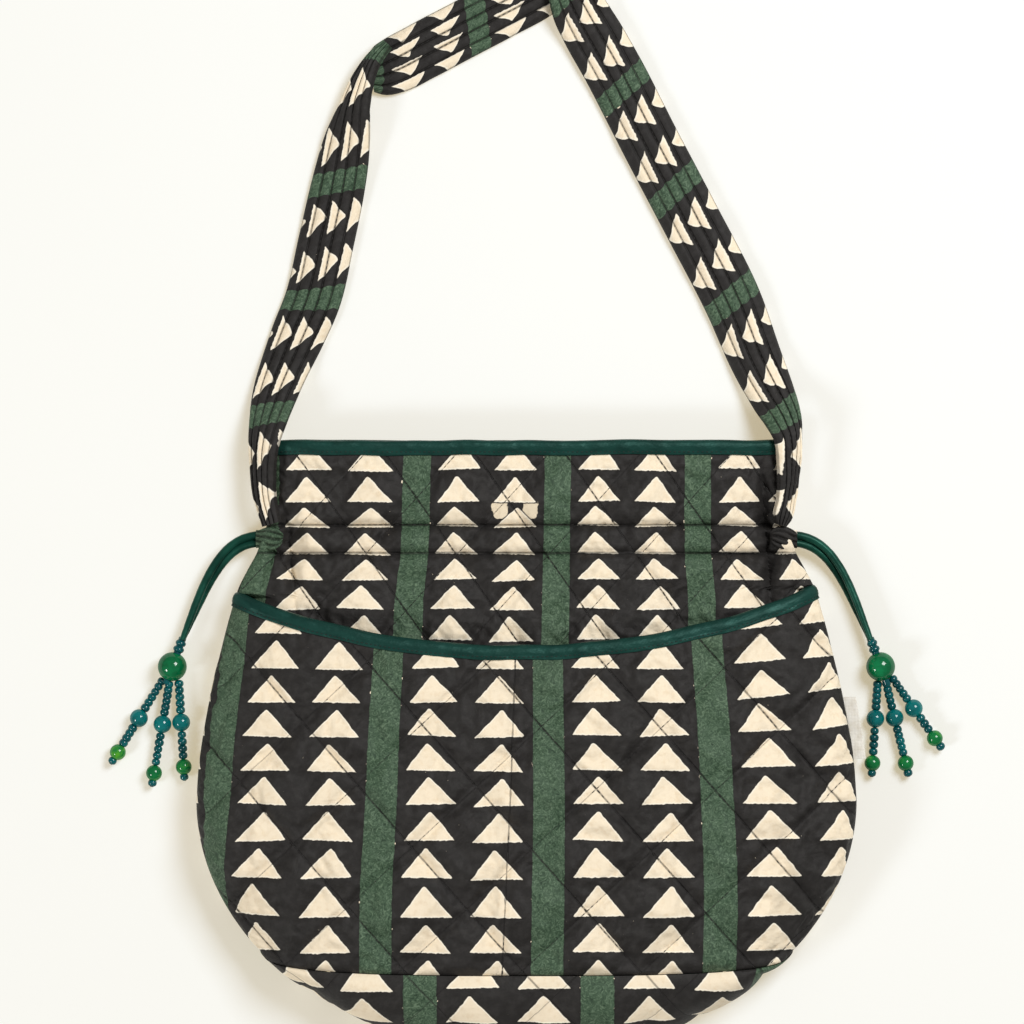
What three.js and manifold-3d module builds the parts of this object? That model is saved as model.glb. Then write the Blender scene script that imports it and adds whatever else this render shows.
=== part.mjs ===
// A quilted potli: a drawstring shoulder pouch of block-printed cotton, lying on its back.
// Millimetres. +X is to the right of the front, +Y runs from the base to the strap, and +Z is up
// from the surface that the bag lies on. The origin is on that surface, under the middle of the back.
import * as THREE from "three";
import { mergeVertices } from "three/addons/utils/BufferGeometryUtils.js";
import Module from "manifold-3d";

const wasm = await Module();
wasm.setup();

// Cloth
const QUILT = 3; // cotton, wadding and cotton, stitched through
const TAPE = 1; // folded satin of the bindings
const CLEAR = 0.4; // air between neighbouring pieces

// Outline of the bag from the front: half its width at each height, above the widest line
const OUTLINE = [
  { y: 160, halfWidth: 127 },
  { y: 150, halfWidth: 127 },
  { y: 138, halfWidth: 126 },
  { y: 117.5, halfWidth: 130 },
  { y: 103.5, halfWidth: 135 },
  { y: 95, halfWidth: 139.5 },
  { y: 86, halfWidth: 144 },
  { y: 75, halfWidth: 147.5 },
  { y: 60, halfWidth: 151.5 },
  { y: 30, halfWidth: 158.5 },
  { y: 0, halfWidth: 163.5 },
  { y: -20, halfWidth: 165 },
];
const WIDEST = OUTLINE.at(-1);
const BASE_SWEEP = 127; // depth of the half ellipse below the widest line
const SEAM = { y: -95, halfWidth: 133, drop: 10.5, power: 3 }; // lower edge of front and pocket

// Layers of the front: how far each lies inside the outline, its height at the edge and the middle,
// and how square its section is
const FRONT = [
  { y: 160, inset: 0, edge: 10, crown: 20.5, power: 4.5 },
  { y: 150, inset: 0, edge: 10, crown: 20.5, power: 4.5 },
  { y: 138, inset: 0, edge: 10, crown: 21.5, power: 4.2 },
  { y: 117.5, inset: 0, edge: 10, crown: 22, power: 4 },
  { y: 103.5, inset: 0, edge: 10, crown: 23, power: 3.8 },
  { y: 95, inset: 2, edge: 12.6, crown: 24.5, power: 3.4 },
  { y: 87, inset: 8, edge: 12.8, crown: 25, power: 3 },
  { y: 75, inset: 8.4, edge: 13, crown: 25.2, power: 2.8 },
  { y: 60, inset: 7, edge: 13, crown: 26.2, power: 2.7 },
  { y: 20, inset: 4.5, edge: 14, crown: 31, power: 2.6 },
  { y: -20, inset: 4, edge: 14, crown: 36.5, power: 2.6 },
  { y: -50, inset: 4, edge: 14, crown: 40.5, power: 2.6 },
  { y: -80, inset: 4, edge: 14.5, crown: 42, power: 2.6 },
  { y: -95, inset: 4, edge: 17, crown: 41, power: 2.6 },
  { y: -106, inset: 4, edge: 17, crown: 39.4, power: 2.6 },
];
const POCKET = [
  { y: 90, inset: 0, edge: 12, crown: 30, power: 2.8 },
  { y: 60, inset: 0, edge: 13, crown: 37, power: 2.7 },
  { y: 20, inset: 0, edge: 14, crown: 43.5, power: 2.6 },
  { y: -20, inset: 0, edge: 14, crown: 47, power: 2.6 },
  { y: -50, inset: 0, edge: 14, crown: 48.5, power: 2.6 },
  { y: -80, inset: 0, edge: 14.5, crown: 47.5, power: 2.6 },
  { y: -95, inset: 0, edge: 17, crown: 45.5, power: 2.6 },
  { y: -106, inset: 0, edge: 17, crown: 43.5, power: 2.6 },
];
const POCKET_DIP = { y: 58, curve: 0.00148, tilt: 0.014 }; // the pocket's hollowed top edge

// Drawstring casing: two stitch lines, and a slit left open in each side seam
const MOUTH_Y = 160;
const CASING = { top: 117.5, bottom: 103.5, groove: 1.2, grooveWidth: 2.2 };
const SLIT = { y: 110.5, halfLength: 3.5, lift: 3 };
const FOLDS = [
  { x: 122, y: 110, depth: 3.2, width: 5, reach: 26 },
  { x: -116, y: 108, depth: 2.8, width: 5, reach: 22 },
  { x: 98, y: 112, depth: 1.4, width: 7, reach: 18 },
  { x: -94, y: 112, depth: 1.4, width: 7, reach: 18 },
  { x: 68, y: 110, depth: 0.9, width: 8, reach: 15 },
  { x: -66, y: 110, depth: 0.9, width: 8, reach: 15 },
];

// Base strip between front and back, and the back itself
// turn is the height of the strip's widest line, and tuck its reach underneath
const GUSSET = { top: 95.5, turn: 13.5, belowSeam: 2, tuck: 12 };
const BACK = { power: 5, gap: 1 }; // how square its turned-up sides are, air to the base strip
const BACK_RIM = { rise: 2.4, from: 128, to: 150 }; // the back lifts off the surface under the mouth

const BINDING = { width: 7.5, legs: QUILT / 2 + 2 * CLEAR + TAPE };
const LABEL = { y: 16, length: 31, stub: 6, thickness: 1, z: 10.5 };

// Shoulder strap: wadding stitched in lengthwise ribs. Each row is a section: its middle, its width,
// the roll that raises its inner edge, and the arch of its middle above its edges.
const STRAP = { ribs: 5, crest: 2.5, groove: 1.7, edge: 1.1 };
const STRAP_LEFT = [
  { x: -127, y: 118, z: 18, width: 11, roll: 36, arch: 1 },
  { x: -130.5, y: 131, z: 17, width: 13, roll: 36, arch: 1.5 },
  { x: -131.5, y: 145, z: 17, width: 16, roll: 36, arch: 1.5 },
  { x: -131, y: 160, z: 17, width: 19, roll: 34, arch: 1.5 },
  { x: -129, y: 171, z: 12.5, width: 21.5, roll: 25, arch: 1.5 },
  { x: -126.5, y: 182, z: 7.5, width: 23, roll: 13, arch: 1.5 },
  { x: -122, y: 195, z: 4, width: 24.5, roll: 5, arch: 1.5 },
  { x: -115, y: 212, z: 2.5, width: 27, roll: 1, arch: 1.5 },
  { x: -107.5, y: 230, z: 2.3, width: 28, roll: 0, arch: 1.5 },
  { x: -100.5, y: 260, z: 2.3, width: 28, roll: 0, arch: 1.5 },
  { x: -94, y: 290, z: 3, width: 27, roll: 3, arch: 2 },
  { x: -89.5, y: 312, z: 6, width: 24, roll: 18, arch: 2 },
  { x: -85.5, y: 329, z: 9, width: 18, roll: 35, arch: 2 },
  { x: -80.5, y: 342, z: 9.5, width: 13, roll: 42, arch: 1.5 },
  { x: -74, y: 353, z: 7.5, width: 8, roll: 40, arch: 1 },
];
const STRAP_TOP = [
  { x: -80, y: 341, z: 2.3, width: 24, roll: 0, arch: 1 },
  { x: -71, y: 345, z: 2.3, width: 28, roll: 0, arch: 1.5 },
  { x: -53, y: 355, z: 2.3, width: 29, roll: 0, arch: 1.5 },
  { x: -33, y: 365.5, z: 2.3, width: 29, roll: 0, arch: 1.5 },
  { x: -13, y: 376, z: 2.3, width: 29, roll: 0, arch: 1.5 },
  { x: 7, y: 386.5, z: 2.3, width: 28, roll: 0, arch: 1.5 },
  { x: 16, y: 391, z: 2.3, width: 24, roll: 0, arch: 1 },
];
const STRAP_RIGHT = [
  { x: 10, y: 400, z: 7, width: 8, roll: 35, arch: 1 },
  { x: 15, y: 393.5, z: 8.5, width: 15, roll: 30, arch: 1.5 },
  { x: 20, y: 386, z: 7.5, width: 22, roll: 18, arch: 2 },
  { x: 25, y: 378, z: 5.5, width: 27, roll: 8, arch: 2 },
  { x: 31.5, y: 367, z: 3.5, width: 29, roll: 2, arch: 2 },
  { x: 43, y: 347, z: 2.4, width: 29.5, roll: 0, arch: 2 },
  { x: 62, y: 310, z: 2.3, width: 29.5, roll: 0, arch: 2.5 },
  { x: 83, y: 270, z: 2.3, width: 29.5, roll: 0, arch: 2.5 },
  { x: 103.5, y: 230, z: 2.3, width: 29, roll: 0, arch: 3 },
  { x: 115.5, y: 200, z: 2.6, width: 26.5, roll: 2, arch: 4 },
  { x: 123, y: 183, z: 5.5, width: 24, roll: 12, arch: 4.5 },
  { x: 128, y: 171, z: 11.5, width: 21.5, roll: 25, arch: 4 },
  { x: 131, y: 160, z: 17, width: 19, roll: 34, arch: 3 },
  { x: 131.5, y: 145, z: 17, width: 16, roll: 37, arch: 2 },
  { x: 130.5, y: 131, z: 17, width: 13, roll: 37, arch: 1.5 },
  { x: 127, y: 118, z: 18, width: 11, roll: 36, arch: 1 },
];

// Drawcords: two strands on each side, side by side at the slit and one over the other at the beads.
// The route is the middle of the pair on the right-hand side.
const CORD = { diameter: 4.5, spacing: 5, steps: 14, sides: 8 };
const CORD_ROUTE = [
  { x: 130, y: 110.5, z: 10 },
  { x: 136, y: 110.3, z: 9.8 },
  { x: 143, y: 108.2, z: 8.8 },
  { x: 149.5, y: 103.6, z: 7.5 },
  { x: 155, y: 97, z: 6.4 },
  { x: 160, y: 88.6, z: 5.7 },
  { x: 164.5, y: 79, z: 5.6 },
  { x: 168.5, y: 69.5, z: 6.2 },
  { x: 172.2, y: 60.6, z: 7.25 },
];

// Tassels: a collar of two small beads, a large bead, and three strings with a middle and an end bead.
// The columns give a string's start from the large bead's middle, its lean from -Y away from the bag,
// and how far along it the beads sit.
const LARGE_BEAD = { x: 177.5, y: 46.5, diameter: 14.5, bore: 2.4, sides: 14 };
const COLLAR = { diameter: 5.6, length: 3.2, count: 2, lean: 20, core: 2, waist: 0.6, round: 0.25 };
const TEAL_BEAD = { diameter: 9, bore: 1, sides: 10 };
const GREEN_BEAD = { diameter: 8, bore: 1, sides: 10 };
const STRING = { radius: 1.4, thread: 0.65, sides: 8, endBead: 2.8 };
const STRINGS = {
  left: [
    { out: 4.6, down: 6.05, lean: 31.8, teal: 23.4, green: 43.5 },
    { out: 1.4, down: 7.47, lean: 9.8, teal: 21.8, green: 46.7 },
    { out: -3.1, down: 6.94, lean: -3.2, teal: 21.15, green: 43.5 },
  ],
  right: [
    { out: 5.6, down: 5.14, lean: 35.2, teal: 19.4, green: 37.8 },
    { out: 2.6, down: 7.14, lean: 13.8, teal: 19.2, green: 42.6 },
    { out: -1.3, down: 7.49, lean: -3.6, teal: 18.7, green: 41.1 },
  ],
};

const MATERIALS = {
  print: new THREE.MeshStandardMaterial({ color: 0x37363a, roughness: 0.9, metalness: 0 }),
  satin: new THREE.MeshStandardMaterial({ color: 0x2a4a43, roughness: 0.5, metalness: 0 }),
  cord: new THREE.MeshStandardMaterial({ color: 0x25463a, roughness: 0.55, metalness: 0 }),
  deepGreen: new THREE.MeshStandardMaterial({ color: 0x0a6f43, roughness: 0.2, metalness: 0 }),
  teal: new THREE.MeshStandardMaterial({ color: 0x0a7877, roughness: 0.2, metalness: 0 }),
  leafGreen: new THREE.MeshStandardMaterial({ color: 0x2e8443, roughness: 0.2, metalness: 0 }),
  tape: new THREE.MeshStandardMaterial({ color: 0xf4ede0, roughness: 0.85, metalness: 0 }),
};

const vec = (x, y, z) => new THREE.Vector3(x, y, z);
const lerp = THREE.MathUtils.lerp;
const radians = THREE.MathUtils.degToRad;
const steps = (count, from, to) =>
  Array.from({ length: count + 1 }, (_, i) => lerp(from, to, i / count));

// A table's column at height y, on a smooth curve through its rows, which run from high y to low.
function along(table, column, y) {
  const last = table.length - 1;
  const height = THREE.MathUtils.clamp(y, table[last].y, table[0].y);
  const row = Math.min(Math.max(table.findIndex((r) => r.y <= height) - 1, 0), last - 1);
  const slope = (i) => {
    const above = table[Math.max(i - 1, 0)];
    const below = table[Math.min(i + 1, last)];
    return (below[column] - above[column]) / (below.y - above.y);
  };
  const [a, b] = [table[row], table[row + 1]];
  const span = b.y - a.y;
  const t = (height - a.y) / span;
  const rise = t * t * (3 - 2 * t);
  const leave = t * (1 - t) * (1 - t);
  const arrive = t * t * (t - 1);
  return lerp(a[column], b[column], rise) + span * (slope(row) * leave + slope(row + 1) * arrive);
}

// Half the bag's width at height y: the table above the widest line, half an ellipse below it.
function outline(y) {
  if (y >= WIDEST.y) return along(OUTLINE, "halfWidth", y);
  const below = Math.min((WIDEST.y - y) / BASE_SWEEP, 1);
  return WIDEST.halfWidth * Math.sqrt(1 - below * below);
}

// Height of a rounded oblong, as a share, at a station across it: -1 and 1 are its sides.
const bulge = (across, power) => Math.max(1 - Math.abs(across) ** power, 0) ** (1 / power);

// Stations across the bag, closer together towards the sides as the power grows.
const stations = (count, power) =>
  steps(count, -1, 1).map(
    (s) => Math.sign(s) * Math.abs(Math.sin((s * Math.PI) / 2)) ** (2 / power),
  );

// A point of a cloth section between two side seams, pushed inwards by depth along its normal.
function shell({ half, edge, crown, power }, across, y, depth) {
  const rise = crown - edge;
  const high = bulge(across, power);
  const steep = (Math.sign(across) * Math.abs(across) ** (power - 1)) / half;
  const normal = vec(steep, 0, high ** (power - 1) / rise).normalize();
  return vec(half * across, y, edge + rise * high).addScaledVector(normal, -depth);
}

// Height of the seam under the front, at a station across the bag.
const seamY = (across) => SEAM.y - SEAM.drop * bulge(across, SEAM.power);

const near = (distance, width) => Math.exp(-((distance / width) ** 2));
const slitOpen = (y) =>
  1 - THREE.MathUtils.smoothstep(Math.abs(y - SLIT.y), SLIT.halfLength, SLIT.y - CASING.bottom);

// A point of a layer of the front, pushed inwards by depth.
function skin(layer, across, y, depth) {
  const half = outline(Math.max(y, SEAM.y)) - along(layer, "inset", y);
  const edge = along(layer, "edge", y);
  const crown = along(layer, "crown", y);
  return shell({ half, edge, crown, power: along(layer, "power", y) }, across, y, depth);
}

// Gathers press the front in beside the slits, and its outer face is drawn in along the stitches.
// Both die away at the side seams, where hold is 0.
function gathered(point, hold, isOuter) {
  let depth = 0;
  for (const fold of FOLDS)
    depth += fold.depth * near(point.x - fold.x, fold.width) * near(point.y - fold.y, fold.reach);
  for (const line of [CASING.top, CASING.bottom])
    depth += isOuter ? CASING.groove * near(point.y - line, CASING.grooveWidth) : 0;
  point.z -= depth * hold;
  return point;
}

function indexed(points, faces) {
  const geometry = new THREE.BufferGeometry().setFromPoints(points).setIndex(faces);
  geometry.computeVertexNormals();
  return geometry;
}

// Closes two matching grids of points, a wall's outer and inner faces, into one solid.
function wall(outer, inner, isRing = false) {
  const rows = outer.length - 1;
  const columns = outer[0].length;
  const spans = isRing ? columns : columns - 1;
  const at = (face, row, column) =>
    (face * (rows + 1) + row) * columns + (column % columns);
  const faces = [];
  const quad = (a, b, c, d) => faces.push(a, b, c, a, c, d);
  for (let j = 0; j < spans; j++) {
    for (let i = 0; i < rows; i++) {
      quad(at(0, i, j), at(0, i + 1, j), at(0, i + 1, j + 1), at(0, i, j + 1));
      quad(at(1, i, j), at(1, i, j + 1), at(1, i + 1, j + 1), at(1, i + 1, j));
    }
    quad(at(0, 0, j), at(0, 0, j + 1), at(1, 0, j + 1), at(1, 0, j));
    quad(at(0, rows, j + 1), at(0, rows, j), at(1, rows, j), at(1, rows, j + 1));
  }
  for (let i = 0; i < rows && !isRing; i++) {
    quad(at(0, i + 1, 0), at(0, i, 0), at(1, i, 0), at(1, i + 1, 0));
    quad(at(0, i, spans), at(0, i + 1, spans), at(1, i + 1, spans), at(1, i, spans));
  }
  return indexed([...outer.flat(), ...inner.flat()], faces);
}

// Joins rings of points along a length into one solid, with a fan at each end.
function loft(rings) {
  const count = rings[0].length;
  const points = rings.flat();
  const faces = [];
  for (let i = 0; i < rings.length - 1; i++)
    for (let j = 0; j < count; j++) {
      const [a, b] = [i * count + j, i * count + ((j + 1) % count)];
      faces.push(a, b, b + count, a, b + count, a + count);
    }
  for (const [ring, isLast] of [[0, false], [rings.length - 1, true]]) {
    const middle = rings[ring].reduce((sum, p) => sum.add(p), vec(0, 0, 0)).divideScalar(count);
    const hub = points.push(middle) - 1;
    for (let j = 0; j < count; j++) {
      const [a, b] = [ring * count + j, ring * count + ((j + 1) % count)];
      faces.push(...(isLast ? [a, b, hub] : [b, a, hub]));
    }
  }
  return indexed(points, faces);
}

function solid(geometry) {
  const bare = geometry.clone();
  for (const name of ["normal", "uv"]) bare.deleteAttribute(name);
  const merged = mergeVertices(bare, 1e-3);
  const mesh = { numProp: 3, vertProperties: merged.attributes.position.array };
  return new wasm.Manifold(
    new wasm.Mesh({ ...mesh, triVerts: new Uint32Array(merged.index.array) }),
  );
}

function fused(geometries) {
  const mesh = geometries.map(solid).reduce((whole, piece) => whole.add(piece)).getMesh();
  const geometry = new THREE.BufferGeometry();
  geometry.setAttribute("position", new THREE.BufferAttribute(mesh.vertProperties, 3));
  geometry.setIndex(new THREE.BufferAttribute(mesh.triVerts, 1));
  geometry.computeVertexNormals();
  return geometry;
}

function piece(name, geometry, material) {
  const mesh = new THREE.Mesh(geometry, material);
  mesh.name = name;
  return mesh;
}

// Front panel, from under the mouth's binding to the seam with the base strip.
const FRONT_COLUMNS = stations(26, FRONT.at(-1).power);
const FRONT_TOP = MOUTH_Y - TAPE - CLEAR;
const FRONT_ROWS = [FRONT_TOP, 150, 138, 127, 121.5, 117.5, 114, 107, 103.5, 99.5, 95, 87, 75, 60];
const FRONT_LOWER = { from: 60, shares: [0.3, 0.6, 0.85, 1], short: 4 }; // ends short of the seam beside it

function frontFace(depth) {
  const isOuter = depth === 0;
  const point = (across, y) => {
    const high = bulge(across, along(FRONT, "power", y));
    const p = gathered(skin(FRONT, across, y, depth), Math.min(2 * high, 1), isOuter);
    p.z += SLIT.lift * slitOpen(y) * (1 - high);
    return p;
  };
  const upper = FRONT_ROWS.map((y) => FRONT_COLUMNS.map((across) => point(across, y)));
  const lower = FRONT_LOWER.shares.map((share) =>
    FRONT_COLUMNS.map((across) => {
      const end = seamY(across) + FRONT_LOWER.short * across * across;
      return point(across, lerp(FRONT_LOWER.from, end, share));
    }),
  );
  return [...upper, ...lower];
}

function frontPanel() {
  return wall(frontFace(0), frontFace(QUILT));
}

// Patch pocket over the front, open along its hollowed top edge.
const POCKET_COLUMNS = stations(22, POCKET.at(-1).power);
const POCKET_SHARES = [0, 0.06, 0.16, 0.28, 0.4, 0.52, 0.64, 0.76, 0.88, 1];

function pocketTopY(across) {
  const x = across * outline(POCKET_DIP.y + POCKET_DIP.curve * WIDEST.halfWidth ** 2);
  return POCKET_DIP.y + POCKET_DIP.curve * x * x + POCKET_DIP.tilt * x;
}

function pocketFace(depth) {
  return POCKET_SHARES.map((share) =>
    POCKET_COLUMNS.map((across) => {
      const edge = pocketTopY(across) - TAPE - CLEAR;
      return skin(POCKET, across, lerp(edge, seamY(across), share), depth);
    }),
  );
}

function pocketPanel() {
  return wall(pocketFace(0), pocketFace(QUILT));
}

// Back panel: flat where it lies, and turned up to the side seams above the base strip.
const BACK_COLUMNS = stations(14, 2);
const BACK_ROWS = [FRONT_TOP, 150, 138, 127, 117.5, 114, 107, 103.5, 100];
const BACK_LOWER = { from: GUSSET.top, shares: [0, 0.3, 0.6, 0.85, 1] };

function backFace(depth) {
  const foot = BASE_SWEEP - GUSSET.tuck - BACK.gap;
  const turnedUp = (across, y) => {
    const edge = along(FRONT, "edge", Math.max(y, CASING.bottom)) - CLEAR - SLIT.lift * slitOpen(y);
    const crown = BACK_RIM.rise * THREE.MathUtils.smoothstep(y, BACK_RIM.from, BACK_RIM.to);
    return shell({ half: outline(y), edge, crown, power: BACK.power }, across, y, depth);
  };
  const flat = (across, share) => {
    const y = lerp(BACK_LOWER.from, WIDEST.y - foot * bulge(across, 2), share);
    const half = outline(Math.max(y, WIDEST.y)) - GUSSET.tuck - BACK.gap;
    return vec(half * across, y, depth);
  };
  const upper = BACK_ROWS.map((y) => BACK_COLUMNS.map((across) => turnedUp(across, y)));
  const lower = BACK_LOWER.shares.map((share) => BACK_COLUMNS.map((across) => flat(across, share)));
  return [...upper, ...lower];
}

function backPanel() {
  return wall(backFace(QUILT), backFace(0));
}

// Base strip: down the left side, round under the base and up the right side. Each section runs from
// the seam with the front, round the widest line, and underneath to the seam with the back.
const GUSSET_SIDE = [GUSSET.top, 74, 50, 25, 0, -22, -42, -60, -75, -87];
const GUSSET_BASE = steps(20, -1, 1);
const GUSSET_ARC = [0, 30, 60, 90].map(radians);

function gussetStations() {
  const side = (across) => GUSSET_SIDE.map((y) => ({ across, y, rim: vec(across * outline(y), y, 0) }));
  const base = GUSSET_BASE.map((s) => {
    const across = Math.sin((s * Math.PI) / 2);
    const reach = SEAM.halfWidth * across;
    const drop = Math.sqrt(1 - (reach / WIDEST.halfWidth) ** 2);
    return { across, y: seamY(across), rim: vec(reach, WIDEST.y - BASE_SWEEP * drop, 0) };
  });
  return [...side(-1), ...base, ...side(1).reverse()];
}

// The seam with the back, in plan: the outline drawn in underneath.
function seamUnder(rim) {
  const sides = 1 - GUSSET.tuck / WIDEST.halfWidth;
  const base = 1 - GUSSET.tuck / BASE_SWEEP;
  if (rim.y > WIDEST.y) return vec(rim.x - Math.sign(rim.x) * GUSSET.tuck, rim.y, 0);
  return vec(rim.x * sides, WIDEST.y + (rim.y - WIDEST.y) * base, 0);
}

// The strip starts a little way off the pocket's edge, along that edge's own face.
function gussetStart(list, i, depth) {
  const edge = (station, inset) => skin(POCKET, station.across, station.y, inset);
  const before = edge(list[Math.max(i - 1, 0)], 0);
  const after = edge(list[Math.min(i + 1, list.length - 1)], 0);
  const through = edge(list[i], 0).sub(edge(list[i], QUILT));
  const away = after.sub(before).cross(through).normalize();
  return edge(list[i], depth).addScaledVector(away, CLEAR);
}

function gussetSection(list, i, depth) {
  const { rim } = list[i];
  const start = gussetStart(list, i, depth);
  const foot = seamUnder(rim);
  const turn = rim.clone().addScaledVector(rim.clone().sub(foot).normalize(), -depth);
  const turnZ = Math.min(GUSSET.turn, start.z - GUSSET.belowSeam);
  const upper = GUSSET_ARC.map((angle) => {
    const p = start.clone().lerp(turn, Math.sin(angle));
    return p.setZ(lerp(turnZ, start.z, Math.cos(angle)));
  });
  const lower = GUSSET_ARC.slice(1).map((angle) => {
    const p = foot.clone().lerp(turn, Math.cos(angle));
    return p.setZ(lerp(turnZ, depth, Math.sin(angle)));
  });
  return [...upper, ...lower];
}

function baseGusset() {
  const list = gussetStations();
  const face = (depth) => {
    const sections = list.map((_, i) => gussetSection(list, i, depth));
    return sections[0].map((_, row) => sections.map((points) => points[row]));
  };
  return wall(face(0), face(QUILT));
}

// Folded tape over a cloth edge. Each station has the edge's middle, the way up out of the cloth and
// the cloth's outward normal. Rows run over the edge, from the outer leg to the inner one.
function binding(edges, isRing) {
  const over = (leg, top, corner) => [
    { out: leg, up: -BINDING.width },
    { out: leg, up: corner },
    { out: 0, up: top },
    { out: -leg, up: corner },
    { out: -leg, up: -BINDING.width },
  ];
  const face = (profile) =>
    profile.map(({ out, up }) =>
      edges.map((s) => s.edge.clone().addScaledVector(s.normal, out).addScaledVector(s.up, up)),
    );
  const outer = over(BINDING.legs, 0, -TAPE);
  const inner = over(BINDING.legs - TAPE, -TAPE, -TAPE - CLEAR / 4);
  return wall(face(inner), face(outer), isRing);
}

// A binding's stations along a cloth edge, from the first two rows of the cloth's outer and inner faces.
function clothEdge(outer, inner) {
  return outer[0].map((point, i) => {
    const up = point.clone().sub(outer[1][i]).normalize();
    const normal = point.clone().sub(inner[0][i]).normalize();
    const edge = point.clone().lerp(inner[0][i], 0.5).addScaledVector(up, TAPE + CLEAR);
    return { edge, up, normal };
  });
}

// The mouth's rim is a loop: the front from left to right, then the back from right to left.
function mouthBinding() {
  const rim = (depth, row) => [
    ...frontFace(depth)[row],
    ...backFace(depth)[row].slice(1, -1).reverse(),
  ];
  const rows = (depth) => [rim(depth, 0), rim(depth, 1)];
  return binding(clothEdge(rows(0), rows(QUILT)), true);
}

function pocketBinding() {
  return binding(clothEdge(pocketFace(0), pocketFace(QUILT)).slice(1, -1), false);
}

// A ribbed ribbon through the rows of a strap table.
function ribbon(rows) {
  const across = 2 * STRAP.ribs;
  const ring = (row, i) => {
    const before = rows[Math.max(i - 1, 0)];
    const after = rows[Math.min(i + 1, rows.length - 1)];
    const ahead = vec(after.x - before.x, after.y - before.y, 0).normalize();
    const side = vec(ahead.y, -ahead.x, 0).applyAxisAngle(ahead, -radians(row.roll));
    const up = side.clone().cross(ahead);
    const place = (k, face) => {
      const share = k / across - 0.5;
      const rib = k % 2 ? STRAP.crest : STRAP.groove;
      const half = k === 0 || k === across ? STRAP.edge : rib;
      const height = row.arch * (1 - 4 * share * share) + face * half;
      const point = vec(row.x, row.y, row.z).addScaledVector(side, share * row.width);
      return point.addScaledVector(up, height);
    };
    const order = steps(across, 0, across).map(Math.round);
    const top = order.map((k) => place(k, 1));
    const bottom = order.reverse().map((k) => place(k, -1));
    return [...top, ...bottom];
  };
  return loft(rows.map(ring));
}

function shoulderStrap() {
  return fused([STRAP_LEFT, STRAP_TOP, STRAP_RIGHT].map(ribbon));
}

// One strand of a pair: the pair turns a quarter from flat at the slit to upright at the collar.
function drawcord(sign, strand) {
  const last = CORD_ROUTE.length - 1;
  const points = CORD_ROUTE.map((p, i) => {
    const before = CORD_ROUTE[Math.max(i - 1, 0)];
    const after = CORD_ROUTE[Math.min(i + 1, last)];
    const side = vec(before.y - after.y, after.x - before.x, 0).normalize();
    const turn = ((i / last) * Math.PI) / 2;
    const half = (strand * CORD.spacing) / 2;
    const across = side.multiplyScalar(half * Math.cos(turn));
    return vec(sign * (p.x + across.x), p.y + across.y, p.z + half * Math.sin(turn));
  });
  const circle = new THREE.Shape(
    steps(CORD.sides, 0, 2 * Math.PI)
      .slice(0, -1)
      .map((a) => new THREE.Vector2(Math.cos(a), Math.sin(a)).multiplyScalar(CORD.diameter / 2)),
  );
  const extrudePath = new THREE.CatmullRomCurve3(points);
  return new THREE.ExtrudeGeometry(circle, { steps: CORD.steps, bevelEnabled: false, extrudePath });
}

// A drilled ball about the Y axis.
function drilledBead({ diameter, bore, sides }) {
  const radius = diameter / 2;
  const cap = Math.acos(bore / radius);
  const arcs = Math.round(sides / 2);
  const profile = steps(arcs, -cap, cap).map(
    (a) => new THREE.Vector2(radius * Math.cos(a), radius * Math.sin(a)),
  );
  return new THREE.LatheGeometry([...profile, profile[0].clone()], sides);
}

// A turned solid about the Y axis, from a list of [distance along, radius] going up the axis.
function turned(profile, sides) {
  const ends = [[profile[0][0], 0], ...profile, [profile.at(-1)[0], 0]];
  return new THREE.LatheGeometry(
    ends.map(([along, radius]) => new THREE.Vector2(radius, along)),
    sides,
  );
}

// Two collar beads and the bundled cord end that runs on through the large bead.
function collar() {
  const radius = COLLAR.diameter / 2;
  const bottom = LARGE_BEAD.diameter / 2 + CLEAR;
  const bead = (start) => [
    [start, radius * COLLAR.waist],
    [start + COLLAR.length * COLLAR.round, radius],
    [start + COLLAR.length * (1 - COLLAR.round), radius],
    [start + COLLAR.length, radius * COLLAR.waist],
  ];
  const beads = steps(COLLAR.count - 1, 0, COLLAR.count - 1).flatMap((i) =>
    bead(bottom + i * COLLAR.length).slice(i ? 1 : 0),
  );
  return turned([[-bottom + 2 * CLEAR, COLLAR.core], [bottom, COLLAR.core], ...beads], STRING.sides);
}

// A string of small beads, down to bare thread inside the middle and end beads.
function beadString({ teal, green }) {
  const clearOf = (bead) => bead.diameter / 2 + CLEAR;
  const threaded = (at, bead) => [
    [at - clearOf(bead), STRING.radius],
    [at - clearOf(bead), STRING.thread],
    [at + clearOf(bead), STRING.thread],
    [at + clearOf(bead), STRING.radius],
  ];
  const end = green + clearOf(GREEN_BEAD) + STRING.endBead;
  return turned(
    [
      [0, STRING.radius],
      ...threaded(teal, TEAL_BEAD),
      ...threaded(green, GREEN_BEAD),
      [end, STRING.radius],
    ],
    STRING.sides,
  );
}

// A string and its beads share one axis, which slopes so that the beads rest on the surface.
function stringGroup(side, sign, row, number) {
  const [tealZ, greenZ] = [TEAL_BEAD.diameter / 2, GREEN_BEAD.diameter / 2];
  const slope = Math.atan2(tealZ - greenZ, row.green - row.teal);
  const group = new THREE.Group();
  group.position.set(
    sign * (LARGE_BEAD.x + row.out),
    LARGE_BEAD.y - row.down,
    tealZ + row.teal * Math.sin(slope),
  );
  group.rotation.set(-slope, 0, Math.PI + sign * radians(row.lean), "ZXY");
  const teal = piece(`teal_bead_${side}_${number}`, drilledBead(TEAL_BEAD), MATERIALS.teal);
  const green = piece(`green_bead_${side}_${number}`, drilledBead(GREEN_BEAD), MATERIALS.leafGreen);
  teal.position.y = row.teal;
  green.position.y = row.green;
  group.add(piece(`bead_string_${side}_${number}`, beadString(row), MATERIALS.teal), teal, green);
  return group;
}

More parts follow.
